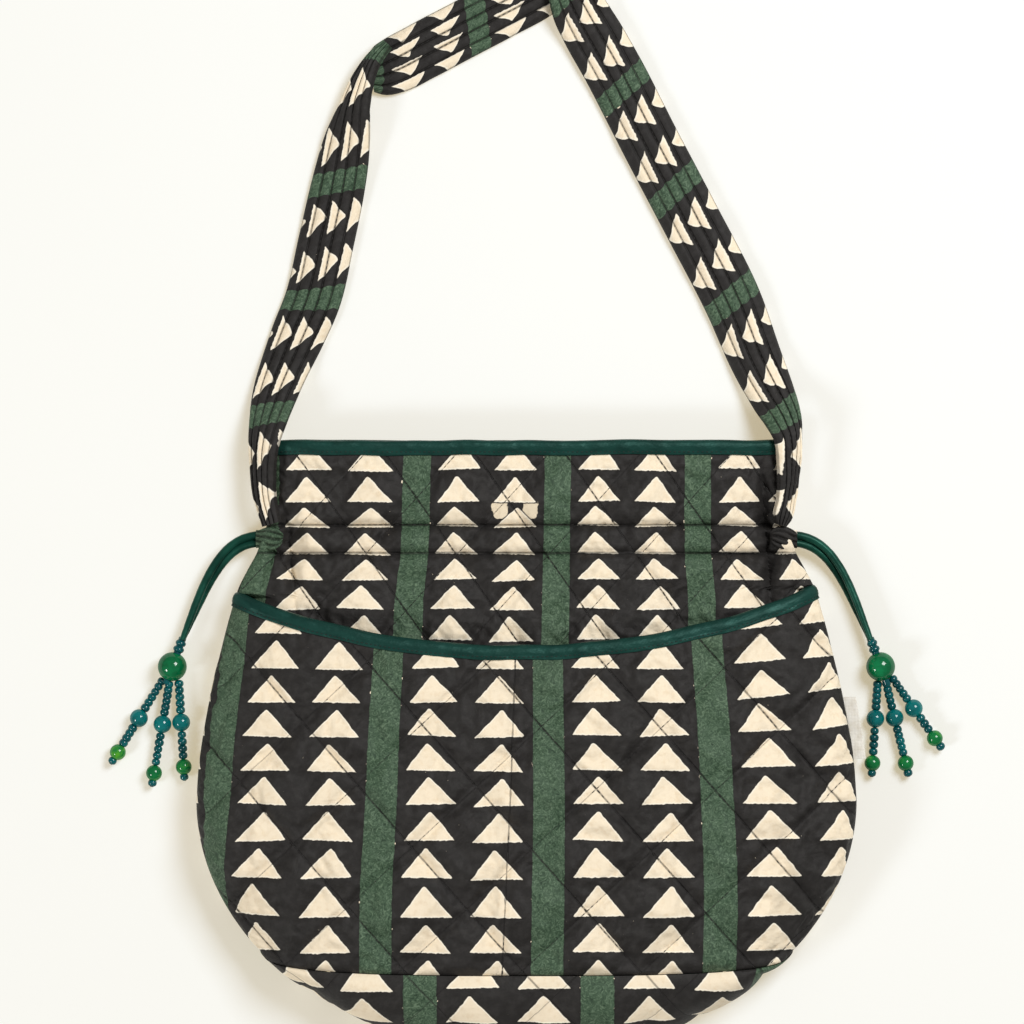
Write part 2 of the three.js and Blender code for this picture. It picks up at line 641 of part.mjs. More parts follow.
function tassel(side, sign) {
  const group = new THREE.Group();
  const head = new THREE.Group();
  head.position.set(sign * LARGE_BEAD.x, LARGE_BEAD.y, LARGE_BEAD.diameter / 2);
  head.rotation.z = sign * radians(COLLAR.lean);
  head.add(
    piece(`large_bead_${side}`, drilledBead(LARGE_BEAD), MATERIALS.deepGreen),
    piece(`collar_${side}`, collar(), MATERIALS.teal),
  );
  group.add(head);
  STRINGS[side].forEach((row, i) => group.add(stringGroup(side, sign, row, i + 1)));
  for (const [name, strand] of [["outer", 1], ["inner", -1]])
    group.add(piece(`drawcord_${side}_${name}`, drawcord(sign, strand), MATERIALS.cord));
  return group;
}

// A bare tape label sewn into the right-hand seam.
function sideLabel() {
  const tape = new THREE.BoxGeometry(LABEL.stub, LABEL.length, LABEL.thickness);
  const mesh = piece("side_label", tape, MATERIALS.tape);
  const [low, high] = [-1, 1].map((end) => outline(LABEL.y + (end * LABEL.length) / 2));
  mesh.rotation.z = -Math.atan2(high - low, LABEL.length);
  mesh.position.set(outline(LABEL.y) + LABEL.stub / 2 + CLEAR, LABEL.y, LABEL.z);
  return mesh;
}

const bag = new THREE.Group();
bag.add(
  piece("front_panel", frontPanel(), MATERIALS.print),
  piece("back_panel", backPanel(), MATERIALS.print),
  piece("base_gusset", baseGusset(), MATERIALS.print),
  piece("pocket_panel", pocketPanel(), MATERIALS.print),
  piece("mouth_binding", mouthBinding(), MATERIALS.satin),
  piece("pocket_binding", pocketBinding(), MATERIALS.satin),
  piece("shoulder_strap", shoulderStrap(), MATERIALS.print),
  sideLabel(),
  tassel("left", -1),
  tassel("right", 1),
);

export default bag;
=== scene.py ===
# %% [markdown]
# # A quilted potli bag, lying on its back
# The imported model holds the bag's solids. This lesson dresses them: printed cotton, quilting thread,
# satin tape, cords and beads, and then the light of a small studio.
# Tables are in millimetres, as a pattern cutter writes them, and MM turns them into Blender's metres.

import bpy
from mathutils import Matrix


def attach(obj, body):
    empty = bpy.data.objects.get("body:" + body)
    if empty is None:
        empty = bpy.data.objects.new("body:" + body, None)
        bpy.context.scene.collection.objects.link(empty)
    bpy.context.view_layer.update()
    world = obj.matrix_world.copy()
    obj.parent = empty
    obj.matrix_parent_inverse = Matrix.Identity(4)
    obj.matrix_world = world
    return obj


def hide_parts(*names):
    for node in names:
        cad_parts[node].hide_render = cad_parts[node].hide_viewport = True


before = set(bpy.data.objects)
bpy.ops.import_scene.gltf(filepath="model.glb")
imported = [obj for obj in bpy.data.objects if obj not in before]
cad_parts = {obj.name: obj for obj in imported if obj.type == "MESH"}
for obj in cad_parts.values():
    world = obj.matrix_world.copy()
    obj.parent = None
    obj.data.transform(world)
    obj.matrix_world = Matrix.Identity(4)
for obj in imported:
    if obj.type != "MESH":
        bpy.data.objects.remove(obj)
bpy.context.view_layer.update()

import math

import bpy
import numpy as np
from mathutils import Vector

MM = 0.001
scene = bpy.context.scene
print("solids in the frame:", len(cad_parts))

# %% [markdown]
# ## Camera
# The bag is seen from straight above. A short lens would swell whatever is near it, and the pocket is
# nearly 50 mm nearer than the floor, so a long lens from almost three metres away keeps the outline
# true. The picture's width is set at the height of the bag's rim.

# %% Camera
PICTURE_WIDTH = 512
PICTURE_MIDDLE = (-7.25, 124, 14)
LENS = 200
SENSOR = 36
FAR_CLIP = 100

camera = bpy.data.objects.new("camera", bpy.data.cameras.new("camera"))
camera.data.lens = LENS
camera.data.sensor_width = SENSOR
reach = PICTURE_WIDTH * LENS / SENSOR
camera.location = (Vector(PICTURE_MIDDLE) + Vector((0, 0, reach))) * MM
camera.data.clip_end = FAR_CLIP
scene.collection.objects.link(camera)
scene.camera = camera
print(f"camera {reach * MM:.2f} m above the bag")


def enlarged(x, y, share):
    """A place in plan, enlarged about the middle of the picture."""
    middle_x, middle_y, _ = PICTURE_MIDDLE
    return middle_x + (x - middle_x) * share, middle_y + (y - middle_y) * share


def nearness(height):
    """How much larger than at the bag's rim the camera sees what lies at a height."""
    return reach / (reach + PICTURE_MIDDLE[2] - height)


def as_seen(x, y, height):
    """Where the camera sees a point of that height, on the scale of the bag's rim."""
    return enlarged(x, y, nearness(height))


def from_seen(x, y, height):
    """The point of that height that the camera sees at a place."""
    return enlarged(x, y, 1 / nearness(height))

# %% [markdown]
# ## Node trees by one method
# Materials and Geometry Nodes are both trees of nodes. One method adds a node: its type, its settings,
# then the values or links of its sockets. A Wire stands for an output, and Python's operators on it add
# Math nodes, so that a shader can be read as a sum.

# %% Wires and node trees
class Wire:
    """An output of a node, which takes part in Python expressions."""

    def __init__(self, nodes, socket):
        self.nodes = nodes
        self.socket = socket

    def other(self, name):
        return Wire(self.nodes, self.socket.node.outputs[name])

    def maths(self, operation, *values):
        return self.nodes.add("ShaderNodeMath", {"operation": operation}, dict(enumerate(values)))

    def __add__(self, value):
        return self.maths("ADD", self, value)

    def __radd__(self, value):
        return self.maths("ADD", value, self)

    def __sub__(self, value):
        return self.maths("SUBTRACT", self, value)

    def __rsub__(self, value):
        return self.maths("SUBTRACT", value, self)

    def __mul__(self, value):
        return self.maths("MULTIPLY", self, value)

    def __rmul__(self, value):
        return self.maths("MULTIPLY", value, self)

    def __truediv__(self, value):
        return self.maths("DIVIDE", self, value)

    def __abs__(self):
        return self.maths("ABSOLUTE", self)

    def floor(self):
        return self.maths("FLOOR", self)

    def fract(self):
        return self.maths("FRACT", self)

    def sine(self):
        return self.maths("SINE", self)

    def least(self, value, rounding=0.0):
        return self.maths("SMOOTH_MIN", self, value, rounding)

    def most(self, value):
        return self.maths("MAXIMUM", self, value)


class Nodes:
    """A node tree that one method fills."""

    def __init__(self, tree):
        self.tree = tree

    def add(self, kind, settings=None, sockets=None, output=0):
        node = self.tree.nodes.new(kind)
        for name, value in (settings or {}).items():
            if name == "stops":
                self.set_stops(node.color_ramp.elements, value)
            else:
                setattr(node, name, value)
        for name, value in (sockets or {}).items():
            if isinstance(value, Wire):
                self.tree.links.new(value.socket, node.inputs[name])
            else:
                node.inputs[name].default_value = value
        return Wire(self, node.outputs[output])

    def set_stops(self, elements, stops):
        while len(elements) < len(stops):
            elements.new(1)
        for element, (position, colour) in zip(elements, stops):
            element.position = position
            element.color = colour


print("node tools ready")

# %% [markdown]
# ## Materials by expressions
# A Finish is one material. Its helpers name the few things that cloth and beads need: the piece's own
# UV map, noise, a soft step between two numbers, a mix of two colours and a bump in millimetres.

# %% Finishes
def paint(red, green, blue):
    """A colour in screen numbers, as the linear colour that a shader takes."""

    def linear(level):
        share = level / 255  # the sRGB curve has a straight foot and then a power
        return share / 12.92 if share <= 0.04045 else ((share + 0.055) / 1.055) ** 2.4

    return (linear(red), linear(green), linear(blue), 1)


class Finish(Nodes):
    """A material with one Principled shader."""

    def __init__(self, name):
        self.material = bpy.data.materials.new(name)
        self.material.use_nodes = True
        super().__init__(self.material.node_tree)
        self.shader = self.tree.nodes["Principled BSDF"]

    def set(self, **sockets):
        for name, value in sockets.items():
            socket = self.shader.inputs[name.replace("_", " ")]
            if isinstance(value, Wire):
                self.tree.links.new(value.socket, socket)
            else:
                socket.default_value = value

    def uv(self, name):
        place = self.add("ShaderNodeUVMap", {"uv_map": name})
        parts = self.add("ShaderNodeSeparateXYZ", {}, {0: place})
        return parts, parts.other("Y")

    def vector(self, x, y=0.0, z=0.0):
        return self.add("ShaderNodeCombineXYZ", {}, {0: x, 1: y, 2: z})

    def objects_place(self):
        """Object coordinates in millimetres."""
        place = self.add("ShaderNodeTexCoord").other("Object")
        settings = {"operation": "SCALE"}
        return self.add("ShaderNodeVectorMath", settings, {0: place, "Scale": 1 / MM})

    def noise(self, place, scale, detail=2.0, warp=0.0):
        sockets = {"Vector": place, "Scale": scale, "Detail": detail, "Distortion": warp}
        return self.add("ShaderNodeTexNoise", {}, sockets)

    def chances(self, x, y):
        """Three steady random numbers from 0 to 1 for each pair of whole numbers."""
        settings = {"noise_dimensions": "2D"}
        dice = self.add("ShaderNodeTexWhiteNoise", settings, {"Vector": self.vector(x, y)})
        parts = self.add("ShaderNodeSeparateColor", {}, {0: dice.other("Color")})
        return parts, parts.other("Green"), parts.other("Blue")

    def step(self, value, start, end):
        """0 before start and 1 after end, smoothly."""
        settings = {"interpolation_type": "SMOOTHSTEP"}
        return self.add("ShaderNodeMapRange", settings, {0: value, 1: start, 2: end})

    def mix(self, share, first, second):
        """A mix of two colours, which are sockets 6 and 7 of the node. Its colour comes out of socket 2."""
        return self.add("ShaderNodeMix", {"data_type": "RGBA"}, {0: share, 6: first, 7: second}, 2)

    def ramp(self, value, *stops):
        return self.add("ShaderNodeValToRGB", {"stops": stops}, {0: value})

    def bump(self, height, strength=1.0):
        """A height in millimetres as a bent normal."""
        sockets = {"Height": height, "Strength": strength, "Distance": MM}
        return self.add("ShaderNodeBump", {}, sockets)


print("finishes ready")

# %% [markdown]
# ## Meshes from rows of points
# Cloth is a wall: an outer and an inner grid of points, closed at the rims. Cords and straps are lofts:
# rings of points joined along a length. Both come from numpy arrays, which are fast and easy to read,
# and both carry UV maps for the patterns that follow the cloth.

# %% Pieces from arrays
SHARP_ANGLE = math.radians(55)


def piece(name, points, faces, finish, uv_maps=None):
    """A mesh object at the origin, in metres, from points in millimetres."""
    mesh = bpy.data.meshes.new(name)
    mesh.from_pydata((np.asarray(points) * MM).tolist(), [], faces.tolist())
    corner = np.empty(len(mesh.loops), np.int32)
    mesh.loops.foreach_get("vertex_index", corner)
    for map_name, values in (uv_maps or {}).items():
        layer = mesh.uv_layers.new(name=map_name)
        layer.data.foreach_set("uv", np.asarray(values, np.float32)[corner].ravel())
    mesh.polygons.foreach_set("use_smooth", np.ones(len(mesh.polygons), bool))
    mesh.set_sharp_from_angle(angle=SHARP_ANGLE)
    mesh.materials.append(finish.material)
    made = bpy.data.objects.new(name, mesh)
    scene.collection.objects.link(made)
    return made


def wall_faces(rows, columns, is_ring=False):
    """Faces between an outer and an inner grid, and along their rims."""
    spans = columns if is_ring else columns - 1
    index = np.arange(2 * rows * columns).reshape(2, rows, columns)
    index = np.concatenate([index, index[:, :, :1]], axis=2)[:, :, : spans + 1]
    a, b = index[:, :-1, :-1], index[:, 1:, :-1]
    c, d = index[:, 1:, 1:], index[:, :-1, 1:]
    quads = [
        np.stack([a[0], b[0], c[0], d[0]], -1),
        np.stack([a[1], d[1], c[1], b[1]], -1),
        np.stack([a[0, 0], d[0, 0], d[1, 0], a[1, 0]], -1),
        np.stack([c[0, -1], b[0, -1], b[1, -1], c[1, -1]], -1),
    ]
    if not is_ring:
        quads.append(np.stack([b[0, :, 0], a[0, :, 0], a[1, :, 0], b[1, :, 0]], -1))
        quads.append(np.stack([d[0, :, -1], c[0, :, -1], c[1, :, -1], d[1, :, -1]], -1))
    return np.concatenate([q.reshape(-1, 4) for q in quads])


def cloth_wall(name, outer, inner, finish, uv_maps, is_ring=False):
    points = np.concatenate([outer.reshape(-1, 3), inner.reshape(-1, 3)])
    both = {key: np.tile(values.reshape(-1, 2), (2, 1)) for key, values in uv_maps.items()}
    return piece(name, points, wall_faces(*outer.shape[:2], is_ring), finish, both)


def loft_faces(rings, count):
    """Quads along a tube of rings, and a cap of quads over each end of it."""
    index = np.arange(rings * count).reshape(rings, count)
    turned = np.roll(index, -1, axis=1)
    sides = np.stack([index[:-1], turned[:-1], turned[1:], index[1:]], -1).reshape(-1, 4)
    half = count // 2
    low, high = np.arange(half - 1), count - 1 - np.arange(half - 1)
    cap = np.stack([low, high, high - 1, low + 1], -1)
    last = (rings - 1) * count
    return np.concatenate([sides, cap, last + cap[:, ::-1]])


def unit(vectors):
    return vectors / np.linalg.norm(vectors, axis=-1, keepdims=True)


def smooth_path(points, count):
    """Rows evenly spread along a smooth curve through the given rows, whose first columns are x, y, z."""
    points = np.asarray(points, float)
    legs = np.linalg.norm(np.diff(points[:, :3], axis=0), axis=1)
    at = np.concatenate([[0], np.cumsum(legs)])
    slope = np.gradient(points, at, axis=0)
    where = np.linspace(0, at[-1], count)
    row = np.clip(np.searchsorted(at, where, side="right") - 1, 0, len(at) - 2)
    span = legs[row][:, None]
    t = (where - at[row])[:, None] / span
    rise = t * t * (3 - 2 * t)
    bend = t * (1 - t) ** 2 * slope[row] + t * t * (t - 1) * slope[row + 1]
    return points[row] * (1 - rise) + points[row + 1] * rise + span * bend


def tube(name, path, radius, finish, sides=16):
    """A round tube along a path, with a UV map of millimetres along it and turns around it."""
    ahead = unit(np.gradient(path, axis=0))
    side = unit(np.cross(ahead, (0, 0, 1)))
    up = np.cross(side, ahead)
    angle = np.linspace(0, 2 * np.pi, sides, endpoint=False)
    radius = np.broadcast_to(radius, (len(path), sides))[..., None]
    spoke = np.cos(angle)[:, None] * side[:, None] + np.sin(angle)[:, None] * up[:, None]
    points = path[:, None] + radius * spoke
    length = np.concatenate([[0], np.cumsum(np.linalg.norm(np.diff(path, axis=0), axis=1))])
    lengthwise = np.repeat(length, sides)
    around = np.tile(np.abs(np.linspace(-1, 1, sides, endpoint=False)), len(path))
    faces = loft_faces(len(path), sides)
    maps = {"run": np.stack([lengthwise, around], -1)}
    return piece(name, points.reshape(-1, 3), faces[:, ::-1], finish, maps)


def wear(made, slot, *nodes):
    """Fixes a piece to the bag and hides the solids that it stands for. The slot is not used."""
    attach(made, "root")
    if nodes:
        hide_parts(*nodes)
    return made


print("mesh tools ready")

# %% [markdown]
# ## Satin for cords and tape
# The cords and the bindings are a bottle-green satin. Satin is smooth thread laid one way, so its gloss
# is broad, with faint creases across the piece. Its colour is painted lighter on the rising creases and in
# broad patches, as a painted sheen.

# %% Satin finish
SATIN_LUSTRE, SATIN_GLEAM, SATIN_POLISH = 0.3, 0.15, 0.1
THREADS_ALONG, THREADS_ACROSS, THREAD_HEIGHT = 9.0, 2.0, 0.012
CREASE_SHARE, SHEEN_PATCH_SHARE = 0.6, 0.5


def satin(name, dark, light, crease_length, crease_width, crease_depth, roughness):
    """Satin with creases of a length and a width along and across the piece, in millimetres."""
    cloth = Finish(name)
    run, over = cloth.uv("run")
    creases = cloth.noise(cloth.vector(run / crease_length, over / crease_width), scale=1.0, detail=3)
    threads = (run * THREADS_ALONG + over * THREADS_ACROSS).sine() * THREAD_HEIGHT
    wear_and_sheen = cloth.noise(cloth.vector(run, over * 3), scale=0.08, detail=2)
    # Painted sheen: the colour turns lighter on the rising creases and in broad patches.
    share = cloth.step(creases * CREASE_SHARE + wear_and_sheen * SHEEN_PATCH_SHARE, 0.36, 0.72)
    cloth.set(Base_Color=cloth.mix(share, dark, light), Roughness=roughness - SATIN_POLISH * share)
    cloth.set(Normal=cloth.bump(creases * crease_depth + threads))
    cloth.set(Metallic=SATIN_LUSTRE, Specular_IOR_Level=SATIN_GLEAM)
    return cloth


# The light colour of each satin is its painted sheen.
cord_satin = satin(
    "cord_satin",
    dark=paint(14, 54, 44),
    light=paint(30, 84, 70),
    crease_length=14,
    crease_width=1.1,
    crease_depth=0.25,
    roughness=0.42,
)
tape_satin = satin(
    "tape_satin",
    dark=paint(18, 54, 48),
    light=paint(29, 70, 63),
    crease_length=9,
    crease_width=5,
    crease_depth=0.9,
    roughness=0.5,
)
print("satin finishes:", cord_satin.material.name, tape_satin.material.name)

# %% [markdown]
# ## Drawcords
# Two strands leave a slit in each side seam, side by side, and turn one over the other into the beads.
# The route is the one that the solids follow, mirrored for the left, and the strands lie a little closer
# together so that they touch. A tube with slight ripples looks more like a sewn satin cord than a
# perfect pipe does.

# %% Drawcords
CORD_WIDTH = 4
CORD_SPACING = 4.0
CORD_TAPER, CORD_TAPER_POWER = 0.3, 6
CORD_RIPPLE, CORD_RIPPLE_TURNS = 0.025, (37, 91)
CORD_RINGS = 110
CORD_SIDES = 16
CORD_ROUTE = [
    (130, 110.5, 10),
    (136, 110.3, 9.8),
    (143, 108.2, 8.8),
    (149.5, 103.6, 7.5),
    (155, 97, 6.4),
    (160, 88.6, 5.7),
    (164.5, 79, 5.6),
    (168.5, 69.5, 6.2),
    (172.4, 60, 7.25),
]
SIDES = {"left": -1, "right": 1}
STRANDS = {"outer": 1, "inner": -1}


def strand_path(sign, strand):
    route = np.array(CORD_ROUTE, float)
    ahead = np.gradient(route, axis=0)
    side = unit(np.stack([-ahead[:, 1], ahead[:, 0]], -1))
    turn = np.linspace(0, np.pi / 2, len(route))
    half = strand * CORD_SPACING / 2 * np.interp(turn, (0, 1.2, np.pi / 2), (1, 1, 1 - CORD_TAPER))
    route[:, :2] += (half * np.cos(turn))[:, None] * side
    route[:, 2] += half * np.sin(turn)
    return smooth_path(route * (sign, 1, 1), CORD_RINGS)


cords = {}
for side, sign in SIDES.items():
    for strand, place in STRANDS.items():
        path = strand_path(sign, place)
        along_cord = np.linspace(0, 1, CORD_RINGS)[:, None]
        slow, fast = CORD_RIPPLE_TURNS
        ripple = np.sin(along_cord * slow + place * 2) * np.sin(along_cord * fast + sign)
        taper = CORD_TAPER * along_cord**CORD_TAPER_POWER
        radius = CORD_WIDTH / 2 * (1 + CORD_RIPPLE * ripple - taper)
        cord = tube(f"drawcord_{side}_{strand}_satin", path, radius, cord_satin, CORD_SIDES)
        wear(cord, "satin_cord", f"drawcord_{side}_{strand}")
        length = np.linalg.norm(np.diff(path, axis=0), axis=1).sum()
        cords[side, strand] = (cord, path, length)
        print(f"{cord.name}: {length:.1f} mm long")

# %% [markdown]
# ## The bag's form
# The panels follow the same rules as the solids: half the width of the bag at each height, and for each
# layer of the front its height at the edge and in the middle, and how square its section is.
# A smooth curve through each column of a table gives the values between the rows.

# %% Tables of the form
QUILT = 3
TAPE = 1
CLEAR = 0.4


def table(names, *rows):
    return np.rec.fromrecords([tuple(map(float, row)) for row in rows], names=names)


OUTLINE = table(
    "y, half",
    (160, 127),
    (150, 127),
    (138, 126),
    (117.5, 130),
    (103.5, 135),
    (95, 139.5),
    (86, 144),
    (75, 147.5),
    (60, 151.5),
    (30, 158.5),
    (0, 163.5),
    (-20, 165),
)
WIDEST_Y = -20
WIDEST_HALF = 165
BASE_SWEEP = 127
SEAM_Y = -95
SEAM_HALF = 133
SEAM_DROP = 10.5
SEAM_POWER = 3
DIP_Y, DIP_CURVE, DIP_TILT = 58, 0.00148, 0.014
FRONT = table(
    "y, inset, edge, crown, power",
    (160, 0, 10, 20.5, 4.5),
    (150, 0, 10, 20.5, 4.5),
    (138, 0, 10, 21.5, 4.2),
    (117.5, 0, 10, 22, 4),
    (103.5, 0, 10, 23, 3.8),
    (95, 2, 12.6, 24.5, 3.4),
    (87, 8, 12.8, 25, 3),
    (75, 8.4, 13, 25.2, 2.8),
    (60, 7, 13, 26.2, 2.7),
    (20, 4.5, 14, 31, 2.6),
    (-20, 4, 14, 36.5, 2.6),
    (-50, 4, 14, 40.5, 2.6),
    (-80, 4, 14.5, 42, 2.6),
    (-95, 4, 17, 41, 2.6),
    (-106, 4, 17, 39.4, 2.6),
)
POCKET = table(
    "y, inset, edge, crown, power",
    (90, 0, 12, 30, 2.8),
    (60, 0, 13, 37, 2.7),
    (20, 0, 14, 43.5, 2.6),
    (-20, 0, 14, 47, 2.6),
    (-50, 0, 14, 48.5, 2.6),
    (-80, 0, 14.5, 47.5, 2.6),
    (-95, 0, 17, 45.5, 2.6),
    (-106, 0, 17, 43.5, 2.6),
)
print("rows:", len(OUTLINE), "outline,", len(FRONT), "front,", len(POCKET), "pocket")

# %% Curves through the tables
def along(rows, column, y):
    """A table's column at height y, on a smooth curve through its rows, which run from high to low."""
    heights, values = rows["y"], rows[column]
    tall = np.pad(heights, 1, mode="edge")
    wide = np.pad(values, 1, mode="edge")
    slope = (wide[2:] - wide[:-2]) / (tall[2:] - tall[:-2])
    height = np.clip(y, heights[-1], heights[0])
    row = np.clip(np.searchsorted(-heights, -height, side="right") - 1, 0, len(heights) - 2)
    span = heights[row + 1] - heights[row]
    t = (height - heights[row]) / span
    rise = t * t * (3 - 2 * t)
    bend = slope[row] * t * (1 - t) ** 2 + slope[row + 1] * t * t * (t - 1)
    return values[row] * (1 - rise) + values[row + 1] * rise + span * bend


def outline(y):
    """Half the bag's width at height y: the table above the widest line, half an ellipse below it."""
    y = np.asarray(y, float)
    below = np.clip((WIDEST_Y - y) / BASE_SWEEP, 0, 1)
    return np.where(y >= WIDEST_Y, along(OUTLINE, "half", y), WIDEST_HALF * np.sqrt(1 - below**2))


def bulge(across, power):
    """Height of a rounded oblong, as a share, at a station across it."""
    return np.maximum(1 - np.abs(across) ** power, 0) ** (1 / power)


def section(half, edge, crown, power, across, y, depth):
    """Points of a cloth section between two side seams, pushed inwards by depth."""
    rise = crown - edge
    high = bulge(across, power)
    steep = np.sign(across) * np.abs(across) ** (power - 1) / half
    normal = unit(np.stack([steep, 0 * steep, high ** (power - 1) / rise], -1))
    return np.stack([half * across, y, edge + rise * high], -1) - depth * normal


def pocket_top(across):
    """Height of the pocket's hollowed edge at a station across the bag."""
    x = across * outline(DIP_Y + DIP_CURVE * WIDEST_HALF**2)
    return DIP_Y + DIP_CURVE * x * x + DIP_TILT * x


def inset(rows, across, y):
    """How far a layer's edge lies inside the outline."""
    corner = pocket_top(np.where(across < 0, -1.0, 1.0))
    return along(rows, "inset", y) * smoothstep(y, corner - 0.6, corner - 3)


def skin(rows, across, y, depth):
    half = outline(np.maximum(y, SEAM_Y)) - inset(rows, across, y)
    edge, crown = along(rows, "edge", y), along(rows, "crown", y)
    return section(half, edge, crown, along(rows, "power", y), across, y, depth)


def seam_y(across):
    """Height of the seam under the front, at a station across the bag."""
    return SEAM_Y - SEAM_DROP * bulge(across, SEAM_POWER)


def smoothstep(value, start, end):
    t = np.clip((value - start) / (end - start), 0, 1)
    return t * t * (3 - 2 * t)


def near(distance, width):
    return np.exp(-((distance / width) ** 2))


def even_stations(count, half=160, rise=32, power=2.6):
    """Stations across the bag that are evenly spread along the cloth itself."""
    fine = np.linspace(-1, 1, 6001)
    legs = np.hypot(np.diff(half * fine), np.diff(rise * bulge(fine, power)))
    length = np.concatenate([[0], np.cumsum(legs)])
    return np.interp(np.linspace(0, length[-1], count), length, fine)


print(f"half width at the casing {outline(110.5):.1f} mm, at the base {outline(-100):.1f} mm")

# %% [markdown]
# ## Printed cotton
# The cloth is block printed: green stripes, and between them two columns of cream triangles on black.
# Every piece has a UV map called "print" that counts stripes across and triangles along, so that one
# material serves all of them. Random numbers for each printed triangle move and lean it a little, and
# noise makes its edges uneven, because the blocks are pressed by hand.
# A second map, "quilt", counts quilting lines, where thread pulls the cloth into a fine crease whose shade
# is painted as a dark line.

# %% Printed cotton's colours and sizes
BLACK, BLACK_WORN, BLACK_DEEP = paint(34, 32, 31), paint(43, 41, 40), paint(26, 25, 24)
CREAM, CREAM_DEEP, CREAM_RIM = paint(247, 232, 206), paint(238, 219, 189), paint(252, 244, 226)
CREAM_STALE, STALE_RING = paint(232, 217, 190), paint(58, 53, 47)
HEATHER = ((0.3, paint(40, 60, 44)), (0.5, paint(67, 90, 69)), (0.72, paint(104, 126, 102)))
# Painted shade for the creases of quilting lines, casing rows and seams, which also stands for the dark
# thread.
PAINTED_CREASE_SHADE = paint(26, 24, 23)
STRIPE_HALF = 0.094
COLUMN_MIDDLES = (0.295, 0.7)
TRIANGLE_HALF, TRIANGLE_HEIGHT, TRIANGLE_FOOT, TRIANGLE_TIP = 0.152, 0.83, 0.09, 0.96
CORNER_ROUND = 0.9
EDGE_WOBBLE, BASE_SCALLOP = 1.3, 1.1
HAND_DRIFT, HAND_LIFT, HAND_SLIDE, HAND_LEAN, HAND_TILT = 0.08, 0.9, 1.6, 0.3, 0.08
STRIPE_WOBBLE, STRIPE_SCALLOP = 1.1, 0.4
SLIP_HALF, SLIP_DEPTH, SLIP_GAP, SLIP_SLANT = 12.2, 9.5, 3.8, 0.15
SLIP_ROUND, SLIP_GAP_ROUND, SLIP_WOBBLE, SLIP_GAP_WOBBLE, SLIP_SCALLOP = 3.0, 2.0, 4, 3, 1.5
WEAVE_TURNS, WEAVE_HEIGHT = 10.5, 0.016
CRUMPLE_BROAD, CRUMPLE_FINE = 2.2, 0.3
CREASE_DARKNESS, CREASE_DEPTH = 0.6, 0.35
RISING_SHARE, RIM_SHARE, SHADE_SHARE = 0.55, 0.9, 0.45
COTTON_ROUGHNESS, COTTON_UNEVEN, COTTON_GLEAM = 0.6, 0.16, 0.32
print("colours of the print: black, cream and a heathered green")


# %% Parts of the print
def hand_printed(cloth, u, v, repeat, pitch, wobble, scallop):
    """Distance inside the nearest triangle's edge, in millimetres, for blocks pressed by hand."""
    half, height = TRIANGLE_HALF * repeat, TRIANGLE_HEIGHT * pitch
    flank = half * height / math.hypot(half, height)
    shapes = []
    for number, middle in enumerate(COLUMN_MIDDLES):
        counted = u - (middle - 0.5)
        column = counted.floor() * 2 + number
        drift, _, _ = cloth.chances(column, 0.5)
        row = v + (drift - 0.5) * HAND_DRIFT + TRIANGLE_FOOT
        lift, slide, lean = cloth.chances(column, row.floor())
        up = (row.fract() - TRIANGLE_FOOT) * pitch + (lift - 0.5) * HAND_LIFT
        over = (counted.fract() - 0.5) * repeat + (slide - 0.5) * HAND_SLIDE - up * (lean - 0.5) * HAND_LEAN
        side = (1 - abs(over) / half - up / height) * flank + wobble * EDGE_WOBBLE
        base = up + scallop * BASE_SCALLOP + over * (slide - 0.5) * HAND_TILT
        tip = height * TRIANGLE_TIP - up
        shapes.append(side.least(base, CORNER_ROUND).least(tip, CORNER_ROUND))
    return shapes[0].most(shapes[1])


def slipped(cloth, colour, triangle, over, down, wobble, scallop):
    """The colour with a block that was once put down upside down, over and down from its middle."""
    blot = SLIP_HALF - over - down * SLIP_SLANT + wobble * SLIP_WOBBLE
    blot = blot.least(down + scallop * SLIP_SCALLOP, SLIP_ROUND)
    blot = blot.least(SLIP_DEPTH - down + wobble * SLIP_WOBBLE, SLIP_ROUND)
    blot = blot.least(over - SLIP_GAP + wobble * SLIP_GAP_WOBBLE, SLIP_GAP_ROUND)
    stale = cloth.mix(cloth.step(triangle, -0.9, -0.3), CREAM_STALE, STALE_RING)
    return cloth.mix(cloth.step(blot, -0.1, 0.3), colour, stale)


def line_share(cloth, distance, start, end):
    """1 on a line and 0 beyond a distance from it."""
    return 1 - cloth.step(distance, start, end)


print("triangles, the slipped block and creases ready")


